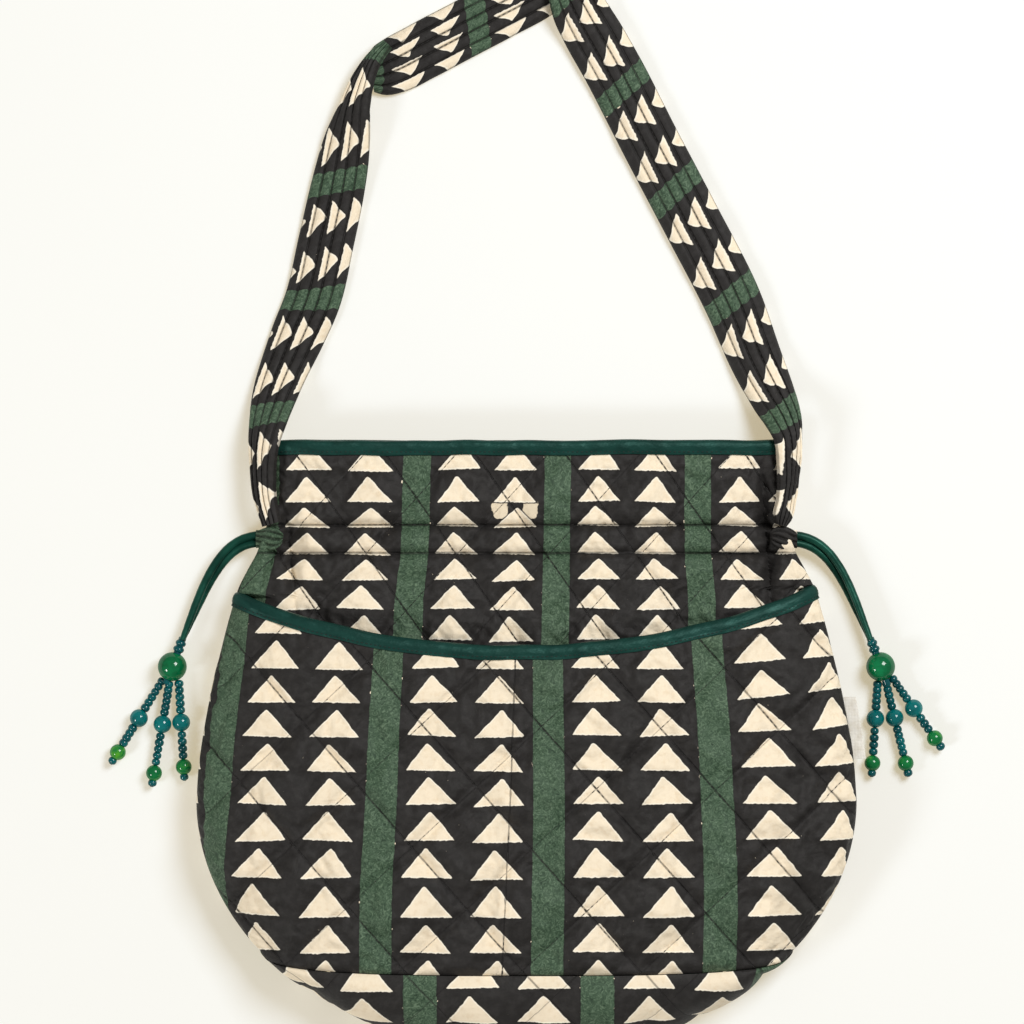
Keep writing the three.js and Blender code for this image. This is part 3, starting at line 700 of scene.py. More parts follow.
# %% Printed cotton finish
def printed_cotton(name, repeat, pitch, quilt_gap, slip=None, casing=(), seam=None):
    """Repeat and pitch are a stripe's and a triangle's spacing on this piece, in millimetres. Counted in
    stripes and triangles, slip is the place of a block that was put down once upside down, casing the
    rows of stitch lines across the cloth, and seam the start and the lean of a seam that runs down it."""
    cloth = Finish(name)
    u, v = cloth.uv("print")
    place = cloth.vector(u * repeat, v * pitch)
    wobble = cloth.noise(place, scale=0.22, detail=3) - 0.5
    scallop = cloth.noise(place, scale=0.5, detail=1) - 0.5
    triangle = hand_printed(cloth, u, v, repeat, pitch, wobble, scallop)
    beside = 0.5 - abs(u.fract() - 0.5)
    stripe = (STRIPE_HALF - beside) * repeat + wobble * STRIPE_WOBBLE + scallop * STRIPE_SCALLOP

    cloudy = cloth.step(cloth.noise(place, scale=0.35, detail=5), 0.45, 0.8)
    cream = cloth.mix(cloudy, CREAM, CREAM_DEEP)
    cream = cloth.mix(cloth.step(triangle, 1.0, 0.35) * RIM_SHARE, cream, CREAM_RIM)
    green = cloth.ramp(cloth.noise(place, scale=0.38, detail=4, warp=2.8), *HEATHER)
    wear_and_sheen = cloth.step(cloth.noise(place, scale=0.25, detail=5), 0.4, 0.7)
    ground = cloth.mix(wear_and_sheen, BLACK, BLACK_WORN)
    ground = cloth.mix(cloth.step(triangle.most(stripe), -1.1, -0.1) * SHADE_SHARE, ground, BLACK_DEEP)

    specks = cloth.step(cloth.noise(place, scale=0.8, detail=2), 0.78, 0.81)
    bleeding = cloth.step(cloth.noise(place, scale=0.3, detail=3), 0.66, 0.7)
    fringe = bleeding * cloth.step(stripe, -0.6, -0.35) * cloth.step(u.fract(), 0.0, 0.02)
    colour = cloth.mix(specks.most(fringe), ground, CREAM)
    colour = cloth.mix(cloth.step(stripe, -0.15, 0.2), colour, green)
    if slip:
        over, down = abs(u - slip[0]) * repeat, (slip[1] - v) * pitch
        colour = slipped(cloth, colour, triangle, over, down, wobble, scallop)
    colour = cloth.mix(cloth.step(triangle, -0.12, 0.18), colour, cream)

    # Painted shade: the colour darkens along each quilting line, casing row and seam, where the crease lies
    # in shade.
    falling, rising = [(0.5 - abs(count.fract() - 0.5)) * quilt_gap for count in cloth.uv("quilt")]
    crease = line_share(cloth, falling, 0.1, 0.7)
    crease = crease.most(line_share(cloth, rising, 0.1, 0.4) * RISING_SHARE)
    for row in casing:
        crease = crease.most(line_share(cloth, abs(v - row) * pitch, 0.2, 0.9))
    if seam:
        beside_seam = abs(u - v * seam[1] - seam[0]) * repeat
        crease = crease.most(line_share(cloth, beside_seam + wobble, 0.15, 0.5))
    # The painted crease shade is mixed into the colour here.
    colour = cloth.mix(crease * CREASE_DARKNESS, colour, PAINTED_CREASE_SHADE)

    weave = ((u * repeat * WEAVE_TURNS).sine() + (v * pitch * WEAVE_TURNS).sine()) * WEAVE_HEIGHT
    crumple = cloth.noise(place, scale=0.07, detail=4, warp=0.4) * CRUMPLE_BROAD
    crumple = crumple + cloth.noise(place, scale=0.4, detail=3) * CRUMPLE_FINE
    patchy = cloth.noise(place, scale=0.3, detail=2)
    cloth.set(Base_Color=colour, Roughness=COTTON_ROUGHNESS + COTTON_UNEVEN * patchy)
    cloth.set(Normal=cloth.bump(weave + crumple - crease * CREASE_DEPTH), Specular_IOR_Level=COTTON_GLEAM)
    return cloth


body_print = printed_cotton("body_print", repeat=80, pitch=17, quilt_gap=42)
strap_print = printed_cotton("strap_print", repeat=60, pitch=10, quilt_gap=5.6)
print("nodes in the body's print:", len(body_print.tree.nodes))

# %% [markdown]
# ## Relief of the quilting
# Two families of slanting lines cross the cloth in diamonds. Along a line the thread pulls the wadding
# flat, and between the lines it swells. The same line coordinates that feed the "quilt" map give the
# distance to the nearest line, and a sum of fixed waves adds the restless small folds of soft cotton.

# %% Quilting and wrinkles
SWELL_REACH, PULL_FADE = 5.5, 2.2
HELD_SLANT, HELD_NEAR, HELD_FAR = 0.7, 0.8, 2.6


class Quilting:
    """Diamonds of stitching: a crossing point, the gaps along X and the slopes of the two families,
    all as seen by the camera on cloth of a given height."""

    def __init__(self, x, y, fall_gap, fall_slope, rise_gap, rise_slope, height):
        self.x, self.y, self.height = x, y, height
        self.gaps = (fall_gap, rise_gap)
        self.slopes = (-fall_slope, rise_slope)

    def count(self, x, y):
        """Both line coordinates of a point in plan: whole numbers lie on a line."""
        x, y = as_seen(x, y, self.height)
        return np.stack(
            [(x - self.x - (y - self.y) / s) / g for s, g in zip(self.slopes, self.gaps)], -1
        )

    def swell(self, counted):
        """From 0 on a line to 1 in the middle of a diamond."""
        high = 1
        for family, (slope, gap) in enumerate(zip(self.slopes, self.gaps)):
            wide = gap * math.sin(math.atan(abs(slope)))
            distance = np.abs(counted[..., family] - np.round(counted[..., family])) * wide
            high = high * (1 - np.exp(-distance / SWELL_REACH))
        return high

    def pull(self, counted):
        """1 on a line, fading within a few millimetres of it."""
        return 1 - np.minimum(self.swell(counted) * PULL_FADE, 1)

    def held(self, counted):
        """1 where a thread holds the cloth, for the simulation."""
        off = np.abs(counted - np.round(counted)) * np.array(self.gaps) * HELD_SLANT
        return 1 - smoothstep(off.min(axis=-1), HELD_NEAR, HELD_FAR)

    def lines(self, family, y_low, y_high, spread):
        """Plan points of every line of a family between two heights."""
        y = np.arange(y_low, y_high, 1.0)
        slope, gap = self.slopes[family], self.gaps[family]
        for number in range(-spread, spread + 1):
            x = self.x + number * gap + (y - self.y) / slope
            yield np.stack(from_seen(x, y, self.height), -1)


FRONT_HEIGHT, POCKET_HEIGHT, BASE_HEIGHT = 22, 44, 30
BODY_QUILTING = Quilting(
    x=-35, y=102.5, fall_gap=45, fall_slope=1.42, rise_gap=46, rise_slope=1.1, height=FRONT_HEIGHT
)
POCKET_QUILTING = Quilting(
    x=-25, y=-13.5, fall_gap=59, fall_slope=1.13, rise_gap=61, rise_slope=0.93, height=POCKET_HEIGHT
)
WAVE_COUNT, WAVE_SHORTEST, WAVE_PHASES, WAVE_TAME = 9, 0.6, 6.28, 1.4


def wrinkles(x, y, length, seed, stretch=1.0):
    """Uneven small folds from -1 to 1: waves of fixed random directions, about one length long."""
    dice = np.random.default_rng(seed)
    total = 0
    for angle, size, phase in dice.random((WAVE_COUNT, 3)):
        turn = 2 * np.pi / (length * (WAVE_SHORTEST + size))
        heading = angle * 2 * np.pi
        along_wave = x * np.cos(heading) + y * np.sin(heading) / stretch
        total = total + np.sin(turn * along_wave + phase * WAVE_PHASES)
    return total / np.sqrt(WAVE_COUNT) / WAVE_TAME


print("diamonds on the body and the pocket")

# %% [markdown]
# ## Letting the cloth settle
# Wadding pushes the cloth up between the threads, and cloth that is cut a little full breaks into small
# folds that are hard to draw by rule. Blender's cloth simulation finds them: a face of the panel is held
# along its threads and seams, made a few hundredths too large and stepped through some frames. Only the
# way that it moves in or out is kept, within limits, so that the print stays where it is.
# The simulation runs on every second point, and a smooth curve fills in the points between.

# %% Cloth simulation
SETTLE_FRAMES = 20
SETTLE_GROWTH = 0.05
SETTLE_PRESSURE = 2
SETTLE_BENDING = 0.1
SETTLE_MASS = 0.15
SETTLE_LIMITS = (-1.5, 2.5)
HELD_STEPS = 10


def between(values):
    """Rows with a smooth new row between each pair."""
    padded = np.concatenate([values[:1], values, values[-1:]])
    middle = (9 * (padded[1:-2] + padded[2:-1]) - padded[:-3] - padded[3:]) / 16
    filled = np.empty((2 * len(values) - 1, *values.shape[1:]))
    filled[::2], filled[1::2] = values, middle
    return filled


def simulated(points, held):
    """Where Blender's cloth takes a grid of points that is held by weights from 0 to 1."""
    rows, columns = points.shape[:2]
    index = np.arange(rows * columns).reshape(rows, columns)
    quads = np.stack([index[:-1, :-1], index[1:, :-1], index[1:, 1:], index[:-1, 1:]], -1)
    loose = piece("settling_cloth", points.reshape(-1, 3), quads.reshape(-1, 4), body_print)
    group = loose.vertex_groups.new(name="held")
    level = np.round(held.ravel() * HELD_STEPS).astype(int)
    for step in range(1, HELD_STEPS + 1):
        group.add(np.flatnonzero(level == step).tolist(), step / HELD_STEPS, "REPLACE")
    cloth = loose.modifiers.new("cloth", "CLOTH")
    cloth.settings.vertex_group_mass = "held"
    cloth.settings.shrink_min = -SETTLE_GROWTH
    cloth.settings.use_pressure = True
    cloth.settings.uniform_pressure_force = SETTLE_PRESSURE
    cloth.settings.bending_stiffness = SETTLE_BENDING
    cloth.settings.mass = SETTLE_MASS
    cloth.settings.effector_weights.gravity = 0
    cloth.collision_settings.use_collision = False
    cloth.point_cache.frame_end = SETTLE_FRAMES
    for number in range(1, SETTLE_FRAMES + 1):
        scene.frame_set(number)
    mesh = loose.evaluated_get(bpy.context.evaluated_depsgraph_get()).data
    found = np.empty(3 * len(mesh.vertices), np.float32)
    mesh.vertices.foreach_get("co", found)
    scene.frame_set(1)
    bpy.data.objects.remove(loose)
    return found.reshape(points.shape) / MM


def settled(outer, inner, held):
    """A panel's outer face after its cloth has settled between what holds it."""
    out = unit(outer - inner)
    coarse = outer[::2, ::2]
    rise = ((simulated(coarse, held[::2, ::2]) - coarse) * out[::2, ::2]).sum(-1)
    rise = between(between(np.clip(rise, *SETTLE_LIMITS)).T).T
    print(f"cloth settled by {rise.min():.1f} to {rise.max():.1f} mm")
    return outer + rise[..., None] * out


print("settling on every second point")

# %% [markdown]
# ## Front panel
# The front is gathered at a casing of two stitch lines and drawn in at both ends by the cords, so it
# has a deep crease beside each slit and small folds that fan out from it. All of this is added to the
# plain form along its normal, and fades out where a binding or a seam has to fit. The simulation keeps
# away from the slits, because it would smooth their puckers out.

# %% Front panel's tables
CASING_TOP, CASING_BOTTOM = 117.5, 103.5
CASING_GROOVE, CASING_WIDTH, CASING_WAVE = 1.2, 2.2, 0.3
SLIT_X, SLIT_Y, SLIT_HALF, SLIT_LIFT = 130, 110.5, 3.5, 3
FAN_COUNT, FAN_DEPTH, FAN_REACH, FAN_TURN, FAN_CURL = 11, 2.4, 15, 0.8, 14
PUCKER_REACH = 15
MOUTH_Y = 160
FRONT_TOP = MOUTH_Y - TAPE - CLEAR
FRONT_SHORT = 4
LINING_SLACK = 1.6
FRONT_SWELL, FRONT_REST = 3.4, 0.55
GATHER_DEPTH, GATHER_REACH, GATHER_MIDDLE = 1.1, 24, 0.35
SOFT_DEPTH, PUCKER_DEPTH = 0.5, 0.6
CASING_TUCK, CASING_TUCK_WIDTH, CASING_PUCKER, CASING_PUCKER_REACH = 2.4, 1.3, 0.8, 5
FOLDS = table(
    "x, y, depth, width, reach",
    (122, 110, 3.2, 5, 26),
    (-116, 108, 2.8, 5, 22),
    (98, 112, 1.4, 7, 18),
    (-94, 112, 1.4, 7, 18),
    (68, 110, 0.9, 8, 15),
    (-66, 110, 0.9, 8, 15),
)
CREASES = table(
    "x, y, depth, width, reach, lean",
    (121, 108, 6.5, 2.2, 34, -0.06),
    (-119, 104, 4.5, 2, 28, -0.12),
    (108, 128, 1.2, 2.5, 14, 0.3),
    (-108, 92, 1.2, 2.5, 12, 0.35),
    (114, 94, 1.6, 2, 10, -0.6),
    (-112, 128, 1.2, 2, 10, 0.5),
    (58, 92, 0.8, 3, 12, 0.1),
    (-30, 120, 0.8, 3, 9, -0.2),
    (12, 111, 0.7, 2.5, 9, 0.1),
    (86, 86, 1.0, 3, 10, -0.5),
    (-72, 112, 0.9, 2.2, 8, 0.15),
    (40, 110, 0.8, 2.2, 8, -0.1),
    (-125.5, 101, 3.2, 1.2, 8, -0.4),
    (-129, 107, 4, 1.2, 7, -0.05),
    (-131.5, 98, 3, 1.2, 8, 0.15),
    (-121.5, 105, 2.2, 1.2, 4, -1.3),
    (126.5, 101, 2.6, 1.2, 8, 0.35),
    (124.5, 119, 2.6, 1.2, 5, -0.5),
    (129, 121, 2.2, 1.2, 5, 0.1),
)
UPPER_STRIPES = table(
    "y, x, repeat",
    (160, 15.8, 70),
    (102.5, 15, 70.8),
    (80, 14.6, 73),
    (60, 14.2, 73.5),
    (0, 13, 80),
    (-106, 12, 84),
)
UPPER_ROWS = table(
    "y, row",
    (177, 2),
    (161, 1),
    (145, 0),
    (129, -1),
    (116.5, -2),
    (103, -3),
    (90, -4),
    (75.5, -5),
    (60, -6),
    (44, -7),
    (-116, -17),
)
print("folds:", len(FOLDS), "creases:", len(CREASES))


# %% Front panel's form
def slit_open(y):
    return 1 - smoothstep(np.abs(y - SLIT_Y), SLIT_HALF, SLIT_Y - CASING_BOTTOM)


def front_form(across, y, depth):
    """The plain form of the front: what the solid has."""
    high = bulge(across, along(FRONT, "power", y))
    points = skin(FRONT, across, y, depth)
    press = 0
    for fold in FOLDS:
        across_fold = near(points[..., 0] - fold.x, fold.width)
        press = press + fold.depth * across_fold * near(y - fold.y, fold.reach)
    if depth == 0:
        for line in (CASING_TOP, CASING_BOTTOM):
            press = press + CASING_GROOVE * near(y - line, CASING_WIDTH)
    points[..., 2] += SLIT_LIFT * slit_open(y) * (1 - high) - press * np.minimum(2 * high, 1)
    return points


def fan_folds(x, y):
    """Folds that fan out from the slits at both ends of the casing."""
    total = 0
    for sign in (-1, 1):
        off_x, off_y = sign * x - SLIT_X, y - SLIT_Y
        far = np.hypot(off_x, off_y)
        fan = np.cos(FAN_COUNT * np.arctan2(off_y, -off_x) + FAN_TURN * sign + far / FAN_CURL)
        total = total + FAN_DEPTH * fan * np.exp(-far / FAN_REACH) * smoothstep(far, 4, 9)
    return total


def casing_wave(x):
    """How far a stitch line of the casing strays from straight."""
    return CASING_WAVE * wrinkles(x, 0 * x, length=60, seed=6)


def front_relief(x, y, across, counted):
    """How far the front's cloth stands off its plain form."""
    high = FRONT_SWELL * (BODY_QUILTING.swell(counted) - FRONT_REST)
    drawn = GATHER_MIDDLE + (1 - GATHER_MIDDLE) * (np.abs(x) / SLIT_X) ** 2
    gathers = near(y - SLIT_Y, GATHER_REACH) * drawn * wrinkles(x, y, length=11, seed=5, stretch=3.5)
    high = high + GATHER_DEPTH * gathers + SOFT_DEPTH * wrinkles(x, y, length=17, seed=2)
    high = high + PUCKER_DEPTH * BODY_QUILTING.pull(counted) * wrinkles(x, y, length=6, seed=3)
    for line in (CASING_TOP, CASING_BOTTOM):
        off = y - line - casing_wave(x)
        puckers = near(off, CASING_PUCKER_REACH) * wrinkles(x, y, length=6, seed=12, stretch=4)
        high = high - CASING_TUCK * np.exp(-np.abs(off) / CASING_TUCK_WIDTH) + CASING_PUCKER * puckers
    for c in CREASES:
        off = x - c.x - (y - c.y) * c.lean
        high = high - c.depth * np.exp(-np.abs(off) / c.width) * near(y - c.y, c.reach)
    seen = smoothstep(y, 10, 40)
    off_seam = 1 - np.abs(across)
    puckers = fan_folds(x, y) * smoothstep(off_seam, 0, 0.012)
    return (high * smoothstep(off_seam, 0.004, 0.06) + puckers) * seen * smoothstep(FRONT_TOP - y, 5, 14)


def front_cloth(across, y):
    """Outer and inner points of the front with its relief, and its counts of quilting lines."""
    outer, inner = front_form(across, y, 0), front_form(across, y, QUILT)
    counted = BODY_QUILTING.count(outer[..., 0], y)
    relief = front_relief(outer[..., 0], y, across, counted)
    out = unit(outer - inner)
    lining = inner + np.minimum(relief + LINING_SLACK, 0)[..., None] * out
    return outer + relief[..., None] * out, lining, counted


def side_stretched(points, across):
    """X across the cloth, which counts the cloth's own length on the steep sides."""
    legs = np.diff(points, axis=1)
    flat = legs[..., 0]
    steep = smoothstep(np.abs(across[:, 1:] + across[:, :-1]) / 2, 0.88, 0.97)
    step = flat + steep * (np.hypot(flat, legs[..., 2]) - flat)
    length = np.concatenate([np.zeros((len(points), 1)), np.cumsum(step, axis=1)], axis=1)
    middle = points.shape[1] // 2
    return length - length[:, middle, None] + points[:, middle, None, 0]


def print_map(wide, y, stripes, rows, height):
    """Counts of stripes and triangles for cloth that is printed straight up and down."""
    wide, y = as_seen(wide, y, height)
    u = (wide - along(stripes, "x", y)) / along(stripes, "repeat", y)
    return np.stack([u, along(rows, "row", y)], -1)


print("front's relief ready")

# %% Front panel
LEFT_EASE = 0.91
FRONT_SPLIT = 40
FRONT_STATIONS = even_stations(261, half=135, rise=12, power=4)
FRONT_UPPER = np.linspace(FRONT_TOP, FRONT_SPLIT, 108)
FRONT_LOWER = np.linspace(0, 1, 36)[1:]
front_end = seam_y(FRONT_STATIONS) + FRONT_SHORT * FRONT_STATIONS**2
front_y = np.concatenate(
    [
        np.repeat(FRONT_UPPER[:, None], len(FRONT_STATIONS), axis=1),
        FRONT_SPLIT + FRONT_LOWER[:, None] * (front_end - FRONT_SPLIT),
    ]
)
front_across = np.broadcast_to(FRONT_STATIONS, front_y.shape)
outer, inner, counted = front_cloth(front_across, front_y)
casing_off = np.minimum(np.abs(front_y - CASING_TOP), np.abs(front_y - CASING_BOTTOM))
front_free = smoothstep(casing_off, 1, 3) * smoothstep(front_y, 20, 45)
front_free = front_free * smoothstep(FRONT_TOP - front_y, 7, 11)
front_free = front_free * smoothstep(1 - np.abs(front_across), 0.005, 0.05)
slit_off = np.hypot(np.abs(outer[..., 0]) - SLIT_X, front_y - SLIT_Y)
front_free = front_free * smoothstep(slit_off, PUCKER_REACH, 2 * PUCKER_REACH)
outer = settled(outer, inner, np.maximum(BODY_QUILTING.held(counted), 1 - front_free))
wide = side_stretched(outer, front_across)
front_laid = print_map(wide, front_y, UPPER_STRIPES, UPPER_ROWS, FRONT_HEIGHT)
front_laid[..., 0] -= (1 - LEFT_EASE) * np.minimum(front_laid[..., 0] + 1, 0)
front_maps = {"print": front_laid, "quilt": counted}
casing_seen = [as_seen(0, y, FRONT_HEIGHT)[1] for y in (CASING_TOP, CASING_BOTTOM)]
casing_rows = [along(UPPER_ROWS, "row", y) for y in casing_seen]
front_print = printed_cotton(
    "front_print", repeat=72, pitch=14, quilt_gap=42, slip=(-0.3, -0.98), casing=casing_rows
)
front = cloth_wall("front_quilt", outer, inner, front_print, front_maps)
wear(front, "quilted_print", "front_panel")
print("front:", len(front.data.polygons), "faces")

# %% [markdown]
# ## Ends of the casing
# Where the cords come out, the end of the casing is drawn up round them into a small pleated sleeve. It
# is a loft of rings whose ripples make the pleats, and its last rings turn back in, as rolled cloth does.
# A row gives a ring's middle, half its width and half its height, and how deep its pleats are.

# %% Casing ends
SLEEVE_RINGS, SLEEVE_SIDES = 36, 72
SLEEVE_PLEATS, SLEEVE_TWIST, SLEEVE_CREASE, PLEAT_ROUND = 9, 2.4, 0.05, 0.7
SLEEVE_ROWS = [
    (121.5, 111.5, 15.5, 1.4, 1.4, 0.1),
    (122.4, 111.4, 15.7, 3.4, 3.2, 0.3),
    (124.5, 111.2, 15.6, 5.4, 4.7, 0.36),
    (128, 110.9, 14.6, 6.2, 5, 0.32),
    (131.5, 110.7, 12.8, 5.4, 4.3, 0.36),
    (134, 110.5, 11.1, 4.5, 3.5, 0.4),
    (135.4, 110.4, 10.3, 4.5, 3.1, 0.2),
    (134.4, 110.4, 10.1, 3.5, 2.2, 0.1),
    (131, 110.5, 10, 3.4, 2.1, 0),
]
SLEEVE_PRINT = {"left": (0, 0, 1), "right": (0.52, 0.85, -1)}
SLEEVE_REPEAT, SLEEVE_PITCH = 80, 17

for side, sign in SIDES.items():
    rows = smooth_path(SLEEVE_ROWS, SLEEVE_RINGS)
    angle = np.linspace(0, 2 * np.pi, SLEEVE_SIDES, endpoint=False)
    twist = SLEEVE_TWIST * np.linspace(-1, 1, SLEEVE_RINGS)[:, None]
    turn = (SLEEVE_PLEATS * angle / 2 + twist) / np.pi
    valley = np.abs(turn - np.round(turn))
    size = 1 - rows[:, 5:] * (1 - np.sin(np.pi * valley) ** PLEAT_ROUND)
    off_y = -sign * rows[:, 3:4] * size * np.cos(angle)
    off_z = rows[:, 4:5] * size * np.sin(angle)
    far_x = np.repeat(rows[:, :1], SLEEVE_SIDES, axis=1)
    points = np.stack([sign * far_x, rows[:, 1:2] + off_y, rows[:, 2:3] + off_z], -1)
    first_u, first_v, way = SLEEVE_PRINT[side]
    sleeve_v = first_v + way * (far_x - SLEEVE_ROWS[0][0]) / SLEEVE_PITCH
    laid = np.stack([first_u + off_y / SLEEVE_REPEAT, sleeve_v], -1)
    lines = np.stack([valley * SLEEVE_CREASE, np.full_like(valley, 0.5)], -1)
    sleeve_maps = {"print": laid.reshape(-1, 2), "quilt": lines.reshape(-1, 2)}
    faces = loft_faces(SLEEVE_RINGS, SLEEVE_SIDES)[:, ::-1]
    sleeve = piece(f"casing_end_{side}", points.reshape(-1, 3), faces, body_print, sleeve_maps)
    wear(sleeve, "quilted_print")

# %% [markdown]
# ## Slip pocket
# The pocket lies over the lower front and stands away from it in the middle, with a hollowed top edge.
# Its print fans out towards the base, because the cloth is eased over the fullness below, and rises a
# little at the upper right. A seam runs down it beside the middle, and both it and the seam of the base
# are tucked in.

# %% Pocket's tables
SEAM_TUCK, SEAM_TUCK_WIDTH = 2, 1.6
POCKET_SWELL, POCKET_REST = 4.2, 0.6
POCKET_TUCK, POCKET_TUCK_WIDTH = 0.9, 1.6
POCKET_SEAM, POCKET_SEAM_LEAN = -0.205, 0.0065
RIGHT_EASE, RIGHT_LIFT = 0.915, 0.00028
POCKET_STRIPES = table(
    "y, x, repeat",
    (97, 10.4, 78),
    (60, 10.6, 79.5),
    (12, 11, 82.5),
    (-26.5, 11.2, 84.2),
    (-65, 10.8, 86),
    (-106, 10.3, 86),
)
POCKET_ROWS = table(
    "y, row",
    (97, 3),
    (80, 2),
    (63, 1),
    (45.5, 0),
    (28.5, -1),
    (11.5, -2),
    (-5.5, -3),
    (-22.5, -4),
    (-40.5, -5),
    (-59, -6),
    (-78.5, -7),
    (-96.5, -8),
    (-115, -9),
)
print("pocket's rows of print:", len(POCKET_ROWS))


# %% Pocket's form
def pocket_seam_x(y):
    """X of the seam down the pocket's middle, which slants a little through the print."""
    seen_y = as_seen(0, y, POCKET_HEIGHT)[1]
    u = POCKET_SEAM + POCKET_SEAM_LEAN * along(POCKET_ROWS, "row", seen_y)
    seen_x = along(POCKET_STRIPES, "x", seen_y) + u * along(POCKET_STRIPES, "repeat", seen_y)
    return from_seen(seen_x, seen_y, POCKET_HEIGHT)[0]


def pocket_relief(x, y, across, counted):
    """How far the pocket's cloth stands off its plain form."""
    high = POCKET_SWELL * (POCKET_QUILTING.swell(counted) - POCKET_REST)
    high = high + SOFT_DEPTH * wrinkles(x, y, length=21, seed=8)
    high = high + PUCKER_DEPTH * POCKET_QUILTING.pull(counted) * wrinkles(x, y, length=6, seed=9)
    high = high - POCKET_TUCK * near(x - pocket_seam_x(y), POCKET_TUCK_WIDTH)
    edge = smoothstep(1 - np.abs(across), 0.002, 0.04)
    above = y - seam_y(across)
    edge = edge * smoothstep(pocket_top(across) - y, 6, 14) * smoothstep(above, 0.5, 5)
    return high * edge - SEAM_TUCK * np.exp(-above / SEAM_TUCK_WIDTH)


def pocket_cloth(across, y):
    """Outer and inner points of the pocket with its relief, and its counts of quilting lines."""
    outer, inner = skin(POCKET, across, y, 0), skin(POCKET, across, y, QUILT)
    counted = POCKET_QUILTING.count(outer[..., 0], y)
    relief = pocket_relief(outer[..., 0], y, across, counted)
    return outer + relief[..., None] * unit(outer - inner), inner, counted


print("pocket's relief ready")

# %% Pocket
POCKET_STATIONS = even_stations(261)
POCKET_SHARES = np.linspace(0, 1, 131)[:, None]
pocket_edge = pocket_top(POCKET_STATIONS) - TAPE - CLEAR
pocket_y = pocket_edge + POCKET_SHARES * (seam_y(POCKET_STATIONS) - pocket_edge)
pocket_across = np.broadcast_to(POCKET_STATIONS, pocket_y.shape)
outer, inner, counted = pocket_cloth(pocket_across, pocket_y)
pocket_free = smoothstep(pocket_top(pocket_across) - pocket_y, 7, 12)
pocket_free = pocket_free * smoothstep(pocket_y - seam_y(pocket_across), 0.5, 4)
pocket_free = pocket_free * smoothstep(1 - np.abs(pocket_across), 0.004, 0.04)
outer = settled(outer, inner, np.maximum(POCKET_QUILTING.held(counted), 1 - pocket_free))
wide = side_stretched(outer, pocket_across)
x = outer[..., 0]
lifted = RIGHT_LIFT * x**2 * smoothstep(x, 40, 160) * smoothstep(pocket_y, -35, 45)
pocket_laid = print_map(wide, pocket_y - lifted, POCKET_STRIPES, POCKET_ROWS, POCKET_HEIGHT)
pocket_laid[..., 0] -= (1 - RIGHT_EASE) * np.maximum(pocket_laid[..., 0] - 1, 0)
pocket_maps = {"print": pocket_laid, "quilt": counted}
pocket_print = printed_cotton(
    "pocket_print", repeat=84, pitch=17.5, quilt_gap=42, seam=(POCKET_SEAM, POCKET_SEAM_LEAN)
)
pocket = cloth_wall("pocket_quilt", outer, inner, pocket_print, pocket_maps)
wear(pocket, "quilted_print", "pocket_panel")
print("pocket:", len(pocket.data.polygons), "faces")

# %% [markdown]
# ## Base strip
# One strip runs down the left side, round under the base and up the right side. A section of it starts
# at the front's seam, rounds the widest line and tucks under to the back. Its print is laid from the
# seam outwards, so that it stays straight up and down in front and wraps round the sides.

# %% Base strip's lines
STRIP_TOP, STRIP_TURN, STRIP_BELOW, STRIP_TUCK = 95.5, 13.5, 2, 12
STRIP_SIDE = np.linspace(STRIP_TOP, -87, 62)
STRIP_BASE = np.sin(np.linspace(-1, 1, 150) * np.pi / 2)
STRIP_ARC = np.radians(np.linspace(0, 90, 13))
BASE_STRIPE_X, BASE_REPEAT, BASE_ROW_Y, BASE_PITCH = 35, 88, -112, 18.2
BASE_SWELL, BASE_REST, BASE_SOFT = 3, 0.6, 0.3
BASE_QUILTING = Quilting(
    x=12, y=-120, fall_gap=60, fall_slope=1.1, rise_gap=60, rise_slope=1.0, height=BASE_HEIGHT
)

ends = np.ones_like(STRIP_SIDE)
strip_across = np.concatenate([-ends, STRIP_BASE, ends])
strip_y = np.concatenate([STRIP_SIDE, seam_y(STRIP_BASE), STRIP_SIDE[::-1]])
base_x = SEAM_HALF * STRIP_BASE
base_rim_y = WIDEST_Y - BASE_SWEEP * np.sqrt(1 - (base_x / WIDEST_HALF) ** 2)
side_x = outline(STRIP_SIDE)
rim = np.stack(
    [
        np.concatenate([-side_x, base_x, side_x[::-1]]),
        np.concatenate([STRIP_SIDE, base_rim_y, STRIP_SIDE[::-1]]),
        np.zeros(len(strip_y)),
    ],
    -1,
)
sweep_middle = np.array((0, WIDEST_Y, 0))
sweep_shrink = np.array((1 - STRIP_TUCK / WIDEST_HALF, 1 - STRIP_TUCK / BASE_SWEEP, 1))
tucked = np.where(
    rim[:, 1:2] > WIDEST_Y,
    rim - np.sign(rim[:, :1]) * (STRIP_TUCK, 0, 0),
    sweep_middle + (rim - sweep_middle) * sweep_shrink,
)
print("base strip's sections:", len(rim))


# %% Base strip
def strip_start(depth):
    """The strip starts a little way off the pocket's edge, along that edge's own face."""
    edge = skin(POCKET, strip_across, strip_y, 0)
    through = edge - skin(POCKET, strip_across, strip_y, QUILT)
    before = np.concatenate([edge[:1], edge[:-1]])
    after = np.concatenate([edge[1:], edge[-1:]])
    return skin(POCKET, strip_across, strip_y, depth) + CLEAR * unit(np.cross(after - before, through))


def strip_form(depth):
    """Rows of points from the front's seam to the back's."""
    start = strip_start(depth)
    turn = rim - depth * unit(rim - tucked)
    turn_z = np.minimum(STRIP_TURN, start[:, 2] - STRIP_BELOW)
    rows = []
    for angle in STRIP_ARC:
        row = start + (turn - start) * math.sin(angle)
        row[:, 2] = turn_z + (start[:, 2] - turn_z) * math.cos(angle)
        rows.append(row)
    for angle in STRIP_ARC[1:]:
        row = tucked + (turn - tucked) * math.cos(angle)
        row[:, 2] = turn_z + (depth - turn_z) * math.sin(angle)
        rows.append(row)
    return np.stack(rows)


